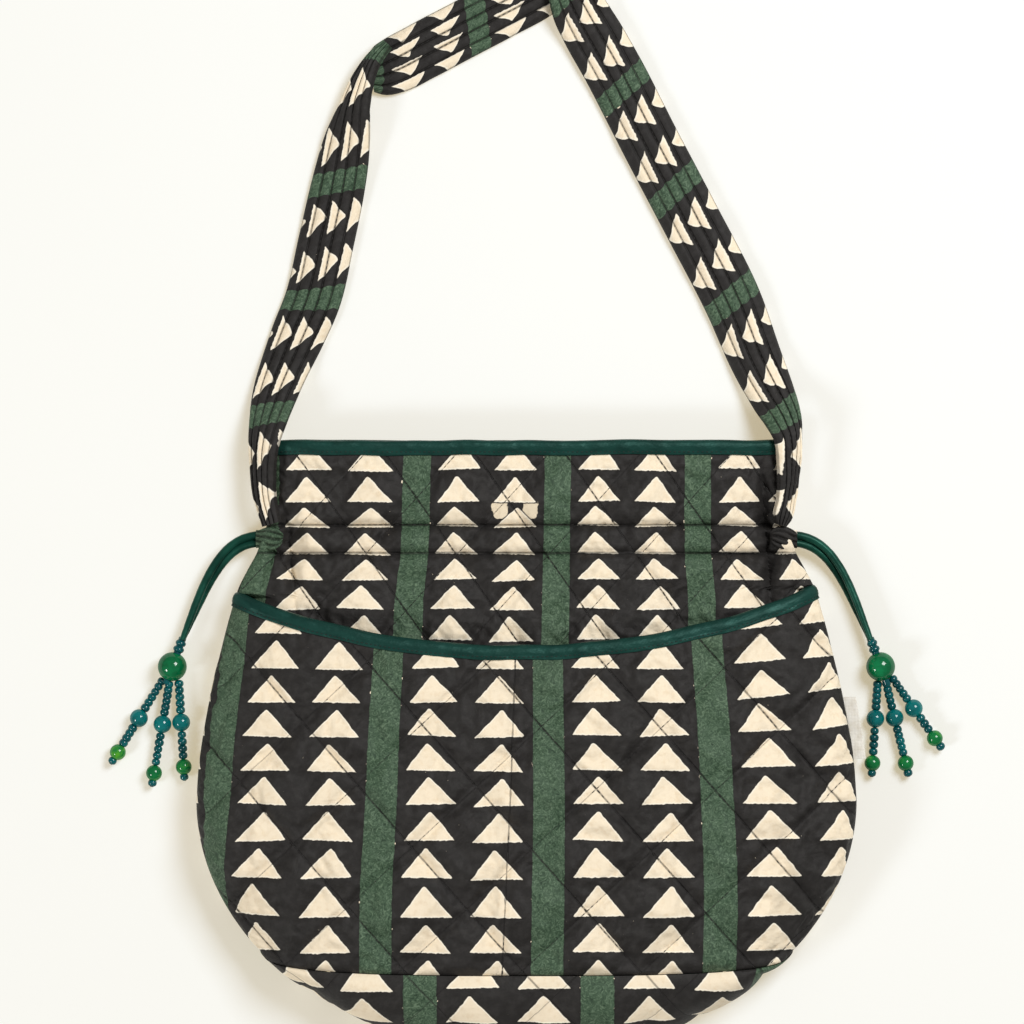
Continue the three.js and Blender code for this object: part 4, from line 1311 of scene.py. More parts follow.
outer, inner = strip_form(0), strip_form(QUILT)
outward = unit((rim - tucked) * (1, 1, 0))
legs = np.linalg.norm(np.diff(outer, axis=0), axis=2)
arc = np.concatenate([np.zeros((1, legs.shape[1])), np.cumsum(legs, axis=0)])
wraps = np.stack([smoothstep(np.abs(rim[:, 0]), 90, 145), *np.ones((2, len(rim)))], -1)
laid = outer[0] + arc[..., None] * outward * wraps
counted = BASE_QUILTING.count(laid[..., 0], laid[..., 1])
swell = BASE_SWELL * (BASE_QUILTING.swell(counted) - BASE_REST)
swell = swell + BASE_SOFT * wrinkles(laid[..., 0], laid[..., 1], length=19, seed=4)
seen = smoothstep(arc, 1, 6) * smoothstep(arc[-1] - arc, 6, 16)
relief = swell * seen - SEAM_TUCK * np.exp(-arc / SEAM_TUCK_WIDTH)
outer = outer + relief[..., None] * unit(outer - inner)
strip_u = (laid[..., 0] - BASE_STRIPE_X) / BASE_REPEAT
strip_print = np.stack([strip_u, (laid[..., 1] - BASE_ROW_Y) / BASE_PITCH], -1)
base = cloth_wall("base_quilt", outer, inner, body_print, {"print": strip_print, "quilt": counted})
wear(base, "quilted_print", "base_gusset")
print("base strip:", len(base.data.polygons), "faces")

# %% [markdown]
# ## Back panel
# The back is flat where the bag lies on it, and its sides turn up to the side seams above the strip.

# %% Back panel
BACK_POWER, BACK_GAP, BACK_PRESS = 5, 1, 0.5
RIM_RISE, RIM_FROM, RIM_TO = 2.4, 128, 150
BACK_STATIONS = even_stations(121, half=135, rise=10, power=5)
BACK_UPPER = np.linspace(FRONT_TOP, 100, 30)
BACK_LOWER = np.linspace(0, 1, 70)[:, None]
BACK_STRIPES = table("y, x, repeat", (160, 0, 70), (60, 0, 76), (-150, 0, 82))
BACK_ROWS = table("y, row", (160, 9), (0, 0), (-153, -9))


def back_upper(across, y, depth):
    edge = along(FRONT, "edge", np.maximum(y, CASING_BOTTOM)) - CLEAR - SLIT_LIFT * slit_open(y)
    crown = RIM_RISE * smoothstep(y, RIM_FROM, RIM_TO)
    return section(outline(y), edge, crown, BACK_POWER, across, y, depth)


def back_lower(across, share, depth):
    foot = BASE_SWEEP - STRIP_TUCK - BACK_GAP
    y = STRIP_TOP + share * (WIDEST_Y - foot * bulge(across, 2) - STRIP_TOP)
    half = outline(np.maximum(y, WIDEST_Y)) - STRIP_TUCK - BACK_GAP
    return np.stack([half * across, y, np.full_like(y, depth)], -1)


def back_face(depth):
    upper_across = np.broadcast_to(BACK_STATIONS, (len(BACK_UPPER), len(BACK_STATIONS)))
    upper_y = np.repeat(BACK_UPPER[:, None], len(BACK_STATIONS), axis=1)
    lower_across = np.broadcast_to(BACK_STATIONS, (len(BACK_LOWER), len(BACK_STATIONS)))
    return np.concatenate(
        [back_upper(upper_across, upper_y, depth), back_lower(lower_across, BACK_LOWER, depth)]
    )


under, over = back_face(0), back_face(QUILT)
counted = BODY_QUILTING.count(under[..., 0], under[..., 1])
pressed = BACK_PRESS * (1 - BODY_QUILTING.swell(counted)) * smoothstep(FRONT_TOP - under[..., 1], 8, 16)
under[..., 2] += pressed * smoothstep(1 - np.abs(BACK_STATIONS), 0.01, 0.06)
back_maps = {
    "print": print_map(under[..., 0], under[..., 1], BACK_STRIPES, BACK_ROWS, 0),
    "quilt": counted,
}
back = cloth_wall("back_quilt", over, under, body_print, back_maps)
wear(back, "quilted_print", "back_panel")
print("back:", len(back.data.polygons), "faces")

# %% [markdown]
# ## Bindings
# Satin tape is folded over the rim of the mouth and over the pocket's edge, and stitched near its lower
# edge. Each station along the edge has a middle, a way up and a way out, and the folded tape's profile
# is laid on it. Small uneven creases across the tape come from bending it along a curve.

# %% Folded tape
TAPE_WIDTH = 7.5
TAPE_LEG = QUILT / 2 + 0.9
TAPE_CRUMPLE, TAPE_CRINKLE, TAPE_SWAY, TAPE_LINING = 0.14, 0.06, 0.4, 0.62
TAPE_PROFILE = [
    (TAPE_LEG - 0.3, -TAPE_WIDTH),
    (TAPE_LEG, -TAPE_WIDTH + 0.4),
    (TAPE_LEG - 0.1, -TAPE_WIDTH + 1.5),
    (TAPE_LEG + 0.35, -TAPE_WIDTH + 2.6),
    (TAPE_LEG + 0.6, -TAPE_WIDTH + 4.2),
    (TAPE_LEG + 0.45, -1.8),
    (TAPE_LEG, -0.8),
    (TAPE_LEG - 1.1, -0.15),
    (0, 0),
]


def cloth_edge(outer, inner):
    """Stations along a cloth's first row: the edge's middle, the way up and the way out."""
    up = unit(outer[0] - outer[1])
    out = unit(outer[0] - inner[0])
    middle = (outer[0] + inner[0]) / 2 + (TAPE + CLEAR) * up
    return middle, up, out


def folded_tape(name, stations, seed, is_ring):
    """A tape folded over an edge: its profile on every station, with small creases across it."""
    middle, up, out = stations
    legs = np.linalg.norm(np.diff(middle, axis=0), axis=1)
    run = np.concatenate([[0], np.cumsum(legs)])
    profile = TAPE_PROFILE + [(-o, u) for o, u in TAPE_PROFILE[-2::-1]]
    lining = [(o * TAPE_LINING, min(u, -TAPE) if abs(o) < TAPE_LEG - 0.5 else u) for o, u in profile]
    crumple = TAPE_CRUMPLE * wrinkles(run, 0 * run, length=12, seed=seed)
    crumple = crumple + TAPE_CRINKLE * wrinkles(run, 0 * run, length=5, seed=seed + 1)
    sway = TAPE_SWAY * wrinkles(run, 0 * run, length=34, seed=seed + 2)
    faces = []
    for face, puff in ((lining, 0), (profile, 1)):
        rows = []
        for o, u in face:
            bulged = o + puff * np.sign(o) * crumple * near(u + TAPE_WIDTH / 2, 3)
            rows.append(middle + bulged[:, None] * out + (u + sway)[:, None] * up)
        faces.append(np.stack(rows))
    wide = np.cumsum([0] + [math.dist(p, q) for p, q in zip(profile, profile[1:])])
    maps = {"run": np.stack(np.broadcast_arrays(run[None], wide[:, None]), -1)}
    return cloth_wall(name, faces[1], faces[0], tape_satin, maps, is_ring)


print("tape's profile:", len(TAPE_PROFILE), "points from leg to fold")

# %% Tapes
MOUTH_FRONT = even_stations(241, half=135, rise=12, power=4)
MOUTH_BACK = even_stations(121, half=127, rise=8, power=5)


def mouth_rim(depth, y):
    """Points round the whole mouth at a height: along the front, then back along the back."""
    front_half = front_form(MOUTH_FRONT, np.full_like(MOUTH_FRONT, y), depth)
    back_half = back_upper(MOUTH_BACK, np.full_like(MOUTH_BACK, y), depth)
    return np.concatenate([front_half, back_half[1:-1][::-1]])


RIM_ROWS = (FRONT_TOP, 150)
mouth_stations = cloth_edge(*[np.stack([mouth_rim(d, y) for y in RIM_ROWS]) for d in (0, QUILT)])
mouth_tape = folded_tape("mouth_tape", mouth_stations, seed=11, is_ring=True)
wear(mouth_tape, "satin_binding", "mouth_binding")

pocket_rows = [skin(POCKET, pocket_across[:4:3], pocket_y[:4:3], depth) for depth in (0, QUILT)]
pocket_stations = [part[2:-2] for part in cloth_edge(*pocket_rows)]
pocket_tape = folded_tape("pocket_tape", pocket_stations, seed=23, is_ring=False)
wear(pocket_tape, "satin_binding", "pocket_binding")
print("tapes:", len(mouth_tape.data.polygons), "and", len(pocket_tape.data.polygons), "faces")

# %% [markdown]
# ## Shoulder strap
# The strap is a padded band stitched in five lengthwise ribs. It lies in three stretches, folded over
# itself at the left corner and at the top. Rows of a table give its middle, width, roll and arch, and
# a smooth curve runs through them. Printed stripes cross the band at a slant of its own in each stretch.

# %% Strap tables
STRAP_RIBS = 5
STRAP_CREST, STRAP_GROOVE = 2.5, 1.35
STRAP_ACROSS = 61
STRAP_STEP = 1.7
STRAP_SCALLOP = 1.0
STRAP_SEED = 30
RIB_ROUND, EDGE_SQUARE = 0.65, 9
STRAP_PUCKER, STRAP_SOFT, STRAP_EVEN = 0.22, 0.3, 0.96
PUCKER_SPREAD, SOFT_SPREAD, RIB_CALM, THIN_EDGE = 40, 30, 0.6, 0.6
STRETCHES = {
    "left": [
        (-127, 118, 18, 11, 36, 1),
        (-130.5, 131, 17, 13, 36, 1.5),
        (-131.5, 145, 17, 16, 36, 1.5),
        (-131, 160, 17, 19, 34, 1.5),
        (-129, 171, 12.5, 21.5, 25, 1.5),
        (-126.5, 182, 7.5, 23, 13, 1.5),
        (-122, 195, 4, 24.5, 5, 1.5),
        (-115, 212, 2.5, 27, 1, 1.5),
        (-107.5, 230, 2.3, 28, 0, 1.5),
        (-100.5, 260, 2.3, 28, 0, 1.5),
        (-94, 290, 3, 27, 3, 2),
        (-89.5, 312, 6, 24, 18, 2),
        (-85.5, 329, 9, 18, 35, 2),
        (-81.3, 341, 9.5, 14, 41, 1.5),
        (-76, 351, 8.3, 9, 40, 1.5),
        (-69.5, 358.5, 6.5, 5, 36, 1),
    ],
    "top": [
        (-78.5, 344, 2.3, 19, 0, 1),
        (-73.5, 345.2, 2.3, 25, 0, 1.2),
        (-67, 347.8, 2.3, 28, 0, 1.5),
        (-53, 355, 2.3, 29, 0, 1.5),
        (-33, 365.5, 2.3, 29, 0, 1.5),
        (-13, 376, 2.3, 29, 0, 1.5),
        (7, 386.5, 2.3, 28, 0, 1.5),
        (16, 391, 2.3, 24, 0, 1),
    ],
    "right": [
        (10, 400, 7, 8, 35, 1),
        (15, 393.5, 8.5, 15, 30, 1.5),
        (20, 386, 7.5, 22, 18, 2),
        (25, 378, 5.5, 27, 8, 2),
        (31.5, 367, 3.5, 29, 2, 2),
        (43, 347, 2.4, 29.5, 0, 2),
        (62, 310, 2.3, 29.5, 0, 2.5),
        (83, 270, 2.3, 29.5, 0, 2.5),
        (103.5, 230, 2.3, 29, 0, 3),
        (115.5, 200, 2.6, 26.5, 2, 4),
        (123, 183, 5.5, 24, 12, 4.5),
        (128, 171, 11.5, 21.5, 25, 4),
        (130.5, 160, 17, 17.5, 40, 3),
        (130.5, 145, 17, 14.5, 43, 2),
        (129.5, 131, 17, 12, 42, 1.5),
        (127.5, 121, 18, 10.5, 38, 1),
        (126.5, 117.5, 17.5, 6, 38, 0.6),
    ],
}
# Slant of the stripes in degrees, gap between rows, first row's place, and stripes counted at heights.
STRAP_PRINT = {
    "left": (22, 9.6, 0.05, [(118, -0.87), (172.5, 0), (230, 1), (288.7, 2), (355, 3)]),
    "top": (-19, 8, 0.85, [(340, -0.12), (369.5, 1), (400, 2.1)]),
    "right": (
        15,
        12,
        0.575,
        [(118, 0.87), (173, 0), (231.5, -1), (286.5, -2), (337, -3), (371.5, -3.7), (400, -4.3)],
    ),
}
print("strap rows:", {name: len(rows) for name, rows in STRETCHES.items()})

# %% Strap
def strap_frame(rows):
    """Even sections along a stretch: middles, the ways across and up, widths and arches."""
    length = np.linalg.norm(np.diff(np.array(rows)[:, :3], axis=0), axis=1).sum()
    run = smooth_path(rows, round(length / STRAP_STEP))
    ahead = unit(np.gradient(run[:, :3], axis=0) * (1, 1, 0))
    flat = np.stack([ahead[:, 1], -ahead[:, 0], 0 * ahead[:, 0]], -1)
    roll = np.radians(run[:, 4])[:, None]
    side = flat * np.cos(roll) + np.array((0, 0, 1)) * np.sin(roll)
    return run, side, np.cross(side, ahead)


def strap_point(frame_rows, share, face, seed):
    """Points at a share across every section, on its upper or lower face."""
    run, side, up = frame_rows
    ribs = np.abs(np.sin(np.pi * STRAP_RIBS * (share + 0.5))) ** RIB_ROUND
    far = np.arange(len(run)) * STRAP_STEP
    pucker = STRAP_PUCKER * wrinkles(far, share * PUCKER_SPREAD + 0 * far, length=6, seed=seed)
    pucker = pucker * (1 - RIB_CALM * ribs)
    soft = STRAP_SOFT * wrinkles(far, share * SOFT_SPREAD + 0 * far, length=24, seed=seed + 3)
    half = STRAP_GROOVE + (STRAP_CREST - STRAP_GROOVE) * ribs
    half = half * (1 - np.abs(2 * share) ** EDGE_SQUARE) ** 0.5
    height = run[:, 5] * (1 - 4 * share * share) + face * (half + pucker * (half > THIN_EDGE)) + soft
    return run[:, :3] + (share * run[:, 3])[:, None] * side + height[:, None] * up


def strap_stretch(name, rows, seed):
    """A stretch's rings of points and its UV maps."""
    frame_rows = strap_frame(rows)
    widest = np.pi / 2 * STRAP_EVEN
    shares = np.sin(np.linspace(-1, 1, STRAP_ACROSS) * widest) / math.sin(widest) / 2
    top = [strap_point(frame_rows, share, 1, seed) for share in shares]
    bottom = [strap_point(frame_rows, share, -1, seed) for share in shares[-2:0:-1]]
    rings = np.stack(top + bottom, axis=1)
    run = frame_rows[0]
    width = run[:, 3:4]
    across = np.concatenate([shares, shares[-2:0:-1]]) * width
    skew, row_gap, first_row, stripes = STRAP_PRINT[name]
    heights, counts = zip(*stripes)
    run_at = np.arange(len(rings)) * STRAP_STEP
    rib_count = (across / width + 0.5) * STRAP_RIBS
    scallop = STRAP_SCALLOP * np.abs(np.sin(np.pi * rib_count))
    crossed = run_at[:, None] - math.tan(math.radians(skew)) * across - scallop
    u = np.interp(np.interp(crossed, run_at, run[:, 1]), heights, counts)
    v = across / row_gap + first_row
    quilt = np.stack(np.broadcast_arrays(rib_count, 0.5), -1)
    return rings, np.stack([u, v], -1), quilt, frame_rows


rings, prints, quilts, faces, strap_frames = [], [], [], [], {}
start = 0
for seed, (name, rows) in enumerate(STRETCHES.items()):
    points, laid, lines, strap_frames[name] = strap_stretch(name, rows, STRAP_SEED + seed)
    faces.append(start + loft_faces(*points.shape[:2]))
    start += points.shape[0] * points.shape[1]
    rings.append(points.reshape(-1, 3))
    prints.append(laid.reshape(-1, 2))
    quilts.append(lines.reshape(-1, 2))
strap_maps = {"print": np.concatenate(prints), "quilt": np.concatenate(quilts)}
strap = piece("strap_band", np.concatenate(rings), np.concatenate(faces), strap_print, strap_maps)
wear(strap, "quilted_print", "shoulder_strap")
print("strap:", len(strap.data.polygons), "faces")

# %% [markdown]
# ## Side label
# A folded tape label is caught in the right-hand seam. It stays bare: two layers of ivory tape with a
# soft fold at their outer edge.

# %% Side label
LABEL_Y, LABEL_LENGTH, LABEL_REACH, LABEL_Z = 16, 31, 6, 10.5
LABEL_PLY, LABEL_GAP, LABEL_FOLD = 0.32, 0.35, 0.45
LABEL_WAVES = ((0.25, 5.2, 0), (0.15, 2.3, 1))
RIB_TURNS, RIB_HEIGHT = 8.5, 0.03

ivory = Finish("ivory_tape")
place = ivory.objects_place()
parts = ivory.add("ShaderNodeSeparateXYZ", {}, {0: place})
ribbing = ((parts.other("Y") * RIB_TURNS).sine() + (parts * RIB_TURNS).sine()) * RIB_HEIGHT
shade = ivory.step(ivory.noise(place, scale=0.3, detail=4), 0.35, 0.75)
ivory.set(Base_Color=ivory.mix(shade, paint(247, 243, 233), paint(233, 226, 211)))
ivory.set(Roughness=0.82 + 0.1 * shade)
ivory.set(Normal=ivory.bump(ribbing + ivory.noise(place, scale=0.2, detail=2) * 0.5))

label_run = np.linspace(-0.5, 0.5, 41) * LABEL_LENGTH
label_x = outline(LABEL_Y + label_run) + CLEAR
label_wave = sum(high * np.sin(label_run / length + start) for high, length, start in LABEL_WAVES)
fold = np.radians(np.linspace(-90, 90, 9))
turned_in = [(LABEL_REACH - 0.5 + LABEL_FOLD * math.cos(a), LABEL_FOLD * math.sin(a)) for a in fold]
loop = [(0, -LABEL_GAP), *turned_in, (0, LABEL_GAP)]


def label_face(grow):
    """One face of the folded tape, grown outwards by half its ply."""
    rows = []
    for reach_out, lift in loop:
        high = lift + grow * (1 if lift > 0 else -1)
        lifted = LABEL_Z + high + label_wave * reach_out / LABEL_REACH
        x = label_x + reach_out + grow * (reach_out > LABEL_REACH - 1)
        rows.append(np.stack([x, LABEL_Y + label_run, lifted], -1))
    return np.stack(rows)


label_maps = {"run": np.zeros((len(loop), len(label_run), 2))}
label_faces = label_face(LABEL_PLY / 2), label_face(-LABEL_PLY / 2)
label = cloth_wall("label_tape", *label_faces, ivory, label_maps)
wear(label, "label_tape", "side_label")
print("label:", len(label.data.polygons), "faces")

# %% [markdown]
# ## Beads
# The large, middle and end beads are lacquered wood: a drilled ball, turned about its hole. The lacquer
# is a clear coat over a colour that is cloudy and darker where the stain ran into the grain.

# %% Bead finishes
CLOUD_SHARE = 0.65
COAT_ROUGHNESS, COAT_IOR, COAT_FADE, WOOD_GLEAM = 0.07, 1.5, 0.85, 0.03


def lacquer(name, deep, mid, bright, grain):
    """Stained wood under a clear coat, which is thinner towards the rim of what is seen."""
    bead = Finish(name)
    place = bead.objects_place()
    cloud = bead.noise(place, scale=0.11, detail=2)
    streak = bead.noise(place, scale=grain, detail=4, warp=0.6)
    stain = cloud * CLOUD_SHARE + streak * (1 - CLOUD_SHARE)
    bead.set(Base_Color=bead.ramp(stain, (0.3, deep), (0.52, mid), (0.72, bright)))
    rim = bead.add("ShaderNodeLayerWeight", {}, {"Blend": 0.5}).other("Facing")
    bead.set(Roughness=0.4 + 0.1 * streak, Coat_Weight=1 - COAT_FADE * rim)
    bead.set(Coat_Roughness=COAT_ROUGHNESS, Coat_IOR=COAT_IOR, Specular_IOR_Level=WOOD_GLEAM)
    bead.set(Normal=bead.bump(streak * 0.02))
    return bead


deep_green = lacquer(
    "deep_green_lacquer", deep=paint(0, 76, 42), mid=paint(0, 104, 60), bright=paint(6, 128, 76), grain=0.5
)
teal = lacquer(
    "teal_lacquer", deep=paint(0, 82, 84), mid=paint(0, 108, 108), bright=paint(4, 130, 127), grain=0.5
)
leaf_green = lacquer(
    "leaf_green_lacquer",
    deep=paint(0, 88, 50),
    mid=paint(10, 116, 58),
    bright=paint(80, 164, 38),
    grain=0.5,
)
seed_teal = lacquer(
    "seed_bead_lustre", deep=paint(0, 56, 60), mid=paint(0, 80, 84), bright=paint(4, 116, 118), grain=0.9
)
print("bead finishes: 4")

# %% Drilled beads
LARGE_BEAD = dict(x=177.5, y=46.5, width=14.5, bore=2.4)
TEAL_BEAD = dict(width=9, bore=1)
GREEN_BEAD = dict(width=8, bore=1)
BEAD_SIDES, BEAD_ARCS, BORE_STEPS = 48, 30, 4


def drilled(width, bore, arcs=BEAD_ARCS, fullness=1.0):
    """A closed profile of a drilled bead: rows of a place along the hole and a distance from it."""
    radius = width / 2
    cap = math.acos((bore / radius) ** (1 / fullness))
    angle = np.linspace(-cap, cap, arcs)
    skin_line = radius * np.stack([np.sin(angle), np.cos(angle) ** fullness], -1)
    end = radius * math.sin(cap)
    hole = np.stack([np.linspace(end, -end, BORE_STEPS)[1:-1], np.full(BORE_STEPS - 2, bore)], -1)
    return np.concatenate([skin_line, hole])


def turned(name, profile, middle, axis, finish, sides=BEAD_SIDES):
    """A closed profile turned about an axis."""
    axis = unit(np.array(axis, float))
    side = unit(np.cross(axis, (0, 0, 1) if abs(axis[2]) < 0.9 else (1, 0, 0)))
    up = np.cross(side, axis)
    angle = np.linspace(0, 2 * np.pi, sides, endpoint=False)
    spoke = np.cos(angle)[:, None] * side + np.sin(angle)[:, None] * up
    points = np.array(middle) + profile[:, None, :1] * axis + profile[:, None, 1:] * spoke
    index = np.arange(points.shape[0] * sides).reshape(-1, sides)
    ahead, round_ = np.roll(index, -1, axis=0), np.roll(index, -1, axis=1)
    both = np.roll(ahead, -1, axis=1)
    faces = np.stack([index, ahead, both, round_], -1).reshape(-1, 4)
    return piece(name, points.reshape(-1, 3), faces, finish)


STRINGS = table(
    "side, number, out, down, lean, teal, green",
    (-1, 1, 4.6, 6.05, 31.8, 23.4, 43.5),
    (-1, 2, 1.4, 7.47, 9.8, 21.8, 46.7),
    (-1, 3, -3.1, 6.94, -3.2, 21.15, 43.5),
    (1, 1, 5.6, 5.14, 35.2, 19.4, 37.8),
    (1, 2, 2.6, 7.14, 13.8, 19.2, 42.6),
    (1, 3, -1.3, 7.49, -3.6, 18.7, 41.1),
)
COLLAR_LEAN = math.radians(20)
SIDE_NAMES = {sign: side for side, sign in SIDES.items()}


def string_name(row):
    """The side and the number of a bead string, as its pieces are named."""
    return f"{SIDE_NAMES[int(row.side)]}_{int(row.number)}"


def string_line(row):
    """The start and the direction of a bead string."""
    lean = math.radians(row.lean)
    slope = math.atan2((TEAL_BEAD["width"] - GREEN_BEAD["width"]) / 2, row.green - row.teal)
    start_z = TEAL_BEAD["width"] / 2 + row.teal * math.sin(slope)
    start = np.array((row.side * (LARGE_BEAD["x"] + row.out), LARGE_BEAD["y"] - row.down, start_z))
    flat = math.cos(slope)
    heading = (row.side * math.sin(lean) * flat, -math.cos(lean) * flat, -math.sin(slope))
    return start, np.array(heading)


def large_bead_line(sign):
    """The middle of a large bead and the direction of its hole."""
    middle = (sign * LARGE_BEAD["x"], LARGE_BEAD["y"], LARGE_BEAD["width"] / 2)
    axis = (-sign * math.sin(COLLAR_LEAN), math.cos(COLLAR_LEAN), 0)
    return np.array(middle), np.array(axis)


large_beads = {}
for side, sign in SIDES.items():
    middle, axis = large_bead_line(sign)
    profile = drilled(LARGE_BEAD["width"], LARGE_BEAD["bore"])
    large_beads[side] = turned(f"large_bead_{side}_lacquer", profile, middle, axis, deep_green)
    wear(large_beads[side], "deep_green_bead", f"large_bead_{side}")

for row in STRINGS:
    start, heading = string_line(row)
    for kind, sizes, at, finish, slot in (
        ("teal", TEAL_BEAD, row.teal, teal, "teal_bead"),
        ("green", GREEN_BEAD, row.green, leaf_green, "leaf_green_bead"),
    ):
        name = f"{kind}_bead_{string_name(row)}"
        bead = turned(f"{name}_lacquer", drilled(**sizes), start + at * heading, heading, finish)
        wear(bead, slot, name)
print("large beads:", len(large_beads), "and middle and end beads:", 2 * len(STRINGS))

# %% [markdown]
# ## Rows of small things
# Seed beads and stitches repeat along a line, which is what Geometry Nodes do best. The line is a plain
# mesh of points and edges. One tree puts a seed bead on every marked point and draws the thread through
# them, and another lays a stitch every few millimetres. Both end in real faces, so the modifier can go.

# %% Geometry Nodes tools
class Recipe(Nodes):
    """A Geometry Nodes tree with named inputs."""

    def __init__(self, name, **inputs):
        super().__init__(bpy.data.node_groups.new(name, "GeometryNodeTree"))
        self.tree.interface.new_socket("Geometry", in_out="INPUT", socket_type="NodeSocketGeometry")
        self.tree.interface.new_socket("Geometry", in_out="OUTPUT", socket_type="NodeSocketGeometry")
        self.keys = {}
        for label, kind in inputs.items():
            socket = self.tree.interface.new_socket(label, in_out="INPUT", socket_type=f"NodeSocket{kind}")
            self.keys[label] = socket.identifier
        self.start = self.add("NodeGroupInput")

    def end(self, geometry):
        """Real faces, smooth and in the thread's or bead's own material."""
        real = self.add("GeometryNodeRealizeInstances", {}, {0: geometry})
        smooth = self.add("GeometryNodeSetShadeSmooth", {}, {0: real})
        finish = self.start.other("finish")
        dressed = self.add("GeometryNodeSetMaterial", {}, {0: smooth, "Material": finish})
        node = self.tree.nodes.new("NodeGroupOutput")
        self.tree.links.new(dressed.socket, node.inputs[0])

    def along_line(self, mode, **sockets):
        """The object's edges as a curve, points on it, and rotations that face along it."""
        line = self.add("GeometryNodeMeshToCurve", {}, {0: self.start})
        spots = self.add("GeometryNodeCurveToPoints", {"mode": mode}, {0: line, **sockets})
        along_x = {"Vector": spots.other("Tangent")}
        return line, spots, self.add("FunctionNodeAlignRotationToVector", {"axis": "X"}, along_x)

    def uneven(self, low, high):
        """A random number for each point, from the tree's seed. Numbers come out of socket 1."""
        sockets = {2: low, 3: high, "Seed": self.start.other("seed")}
        return self.add("FunctionNodeRandomValue", {"data_type": "FLOAT"}, sockets, 1)

    def make(self, made, **values):
        """Runs the tree on a piece and keeps the result as its plain mesh."""
        modifier = made.modifiers.new("rows", "NODES")
        modifier.node_group = self.tree
        for label, value in values.items():
            modifier[self.keys[label]] = value
        graph = bpy.context.evaluated_depsgraph_get()
        mesh = bpy.data.meshes.new_from_object(made.evaluated_get(graph))
        made.modifiers.remove(modifier)
        made.data = mesh
        return made


def polylines(name, lines, marks=None):
    """An object of points and edges, one run for each list of points in millimetres."""
    points = np.concatenate(lines)
    edges, start = [], 0
    for line in lines:
        index = np.arange(start, start + len(line))
        edges.append(np.stack([index[:-1], index[1:]], -1))
        start += len(line)
    mesh = bpy.data.meshes.new(name)
    mesh.from_pydata((points * MM).tolist(), np.concatenate(edges).tolist(), [])
    if marks is not None:
        mesh.attributes.new("seed", "BOOLEAN", "POINT").data.foreach_set("value", marks)
    made = bpy.data.objects.new(name, mesh)
    scene.collection.objects.link(made)
    return made


print("recipe tools ready")

# %% Seed bead recipe
seed_profile = drilled(width=1, bore=0.18, arcs=14, fullness=0.55) / MM
SEED_PATTERN = turned("seed_pattern", seed_profile, (0, 0, 0), (1, 0, 0), seed_teal, sides=16)

seeds = Recipe(
    "seed_row",
    width="Float",
    length="Float",
    thread="Float",
    pattern="Object",
    finish="Material",
    seed="Int",
)
line, spots, facing = seeds.along_line("EVALUATED")
marked = seeds.add("GeometryNodeInputNamedAttribute", {"data_type": "BOOLEAN"}, {"Name": "seed"})
width = seeds.start.other("width")
size = seeds.add("ShaderNodeCombineXYZ", {}, {0: seeds.start.other("length"), 1: width, 2: width})
slightly = seeds.uneven(0.94, 1.05)
size = seeds.add("ShaderNodeVectorMath", {"operation": "SCALE"}, {0: size, "Scale": slightly})
pattern = seeds.add("GeometryNodeObjectInfo", {}, {"Object": seeds.start.other("pattern")})
beads = seeds.add(
    "GeometryNodeInstanceOnPoints",
    {},
    {
        "Points": spots,
        "Selection": marked,
        "Instance": pattern.other("Geometry"),
        "Rotation": facing,
        "Scale": size,
    },
)
round_section = {"Resolution": 8, "Radius": seeds.start.other("thread")}
ring = seeds.add("GeometryNodeCurvePrimitiveCircle", {}, round_section)
thread = seeds.add("GeometryNodeCurveToMesh", {}, {0: line, 1: ring, "Fill Caps": True})
joined = seeds.add("GeometryNodeJoinGeometry", {}, {0: beads})
seeds.tree.links.new(thread.socket, joined.socket.node.inputs[0])
seeds.end(joined)
print("nodes in the seed recipe:", len(seeds.tree.nodes))

# %% Seed strings and collars
SEED_WIDTH, SEED_LENGTH, SEED_PITCH, THREAD = 4.5, 3.5, 3.1, 0.9
COLLAR_WIDTH, COLLAR_LENGTH, COLLAR_COUNT, COLLAR_CORE, COLLAR_TAIL = 5.6, 3.2, 2, 1.9, 1.9
SEED_SIZES = dict(width=SEED_WIDTH * MM, length=SEED_LENGTH * MM, thread=THREAD * MM)
COLLAR_SIZES = dict(width=COLLAR_WIDTH * MM, length=COLLAR_LENGTH * MM, thread=COLLAR_CORE * MM)
SEED_LOOKS = dict(pattern=SEED_PATTERN, finish=seed_teal.material)
SAG, STACK_LIFT, STACK_LENGTH = 0.8, 2.2, 11
LAST_SEED, LOOSE_END = 0.3, 0.55


def seed_places(row):
    """Places along a string, and which of them carry a seed bead."""
    teal_half, green_half = TEAL_BEAD["width"] / 2, GREEN_BEAD["width"] / 2
    spans = [(0, row.teal - teal_half), (row.teal + teal_half, row.green - green_half)]
    places = []
    for low, high in spans:
        count = round((high - low) / SEED_PITCH)
        pitch = (high - low) / count
        places += [low + pitch * (i + 0.5) for i in range(count)]
    places.append(row.green + green_half + SEED_LENGTH * LAST_SEED)
    tied = [row.teal, row.green]
    at = np.array(sorted(places + tied + [places[-1] + SEED_LENGTH * LOOSE_END]))
    return at, np.isin(at, places)


for row in STRINGS:
    start, heading = string_line(row)
    at, marks = seed_places(row)
    points = start + at[:, None] * heading
    points[:, 2] -= SAG * np.sin(np.pi * np.clip(at / row.teal, 0, 1)) ** 2
    points[:, 2] += (row.number == 2) * STACK_LIFT * np.clip(1 - at / STACK_LENGTH, 0, 1)
    string = polylines(f"seed_string_{string_name(row)}", [points], marks)
    seeds.make(string, **SEED_SIZES, **SEED_LOOKS, seed=int(row.number))
    wear(string, "teal_bead", f"bead_string_{string_name(row)}")

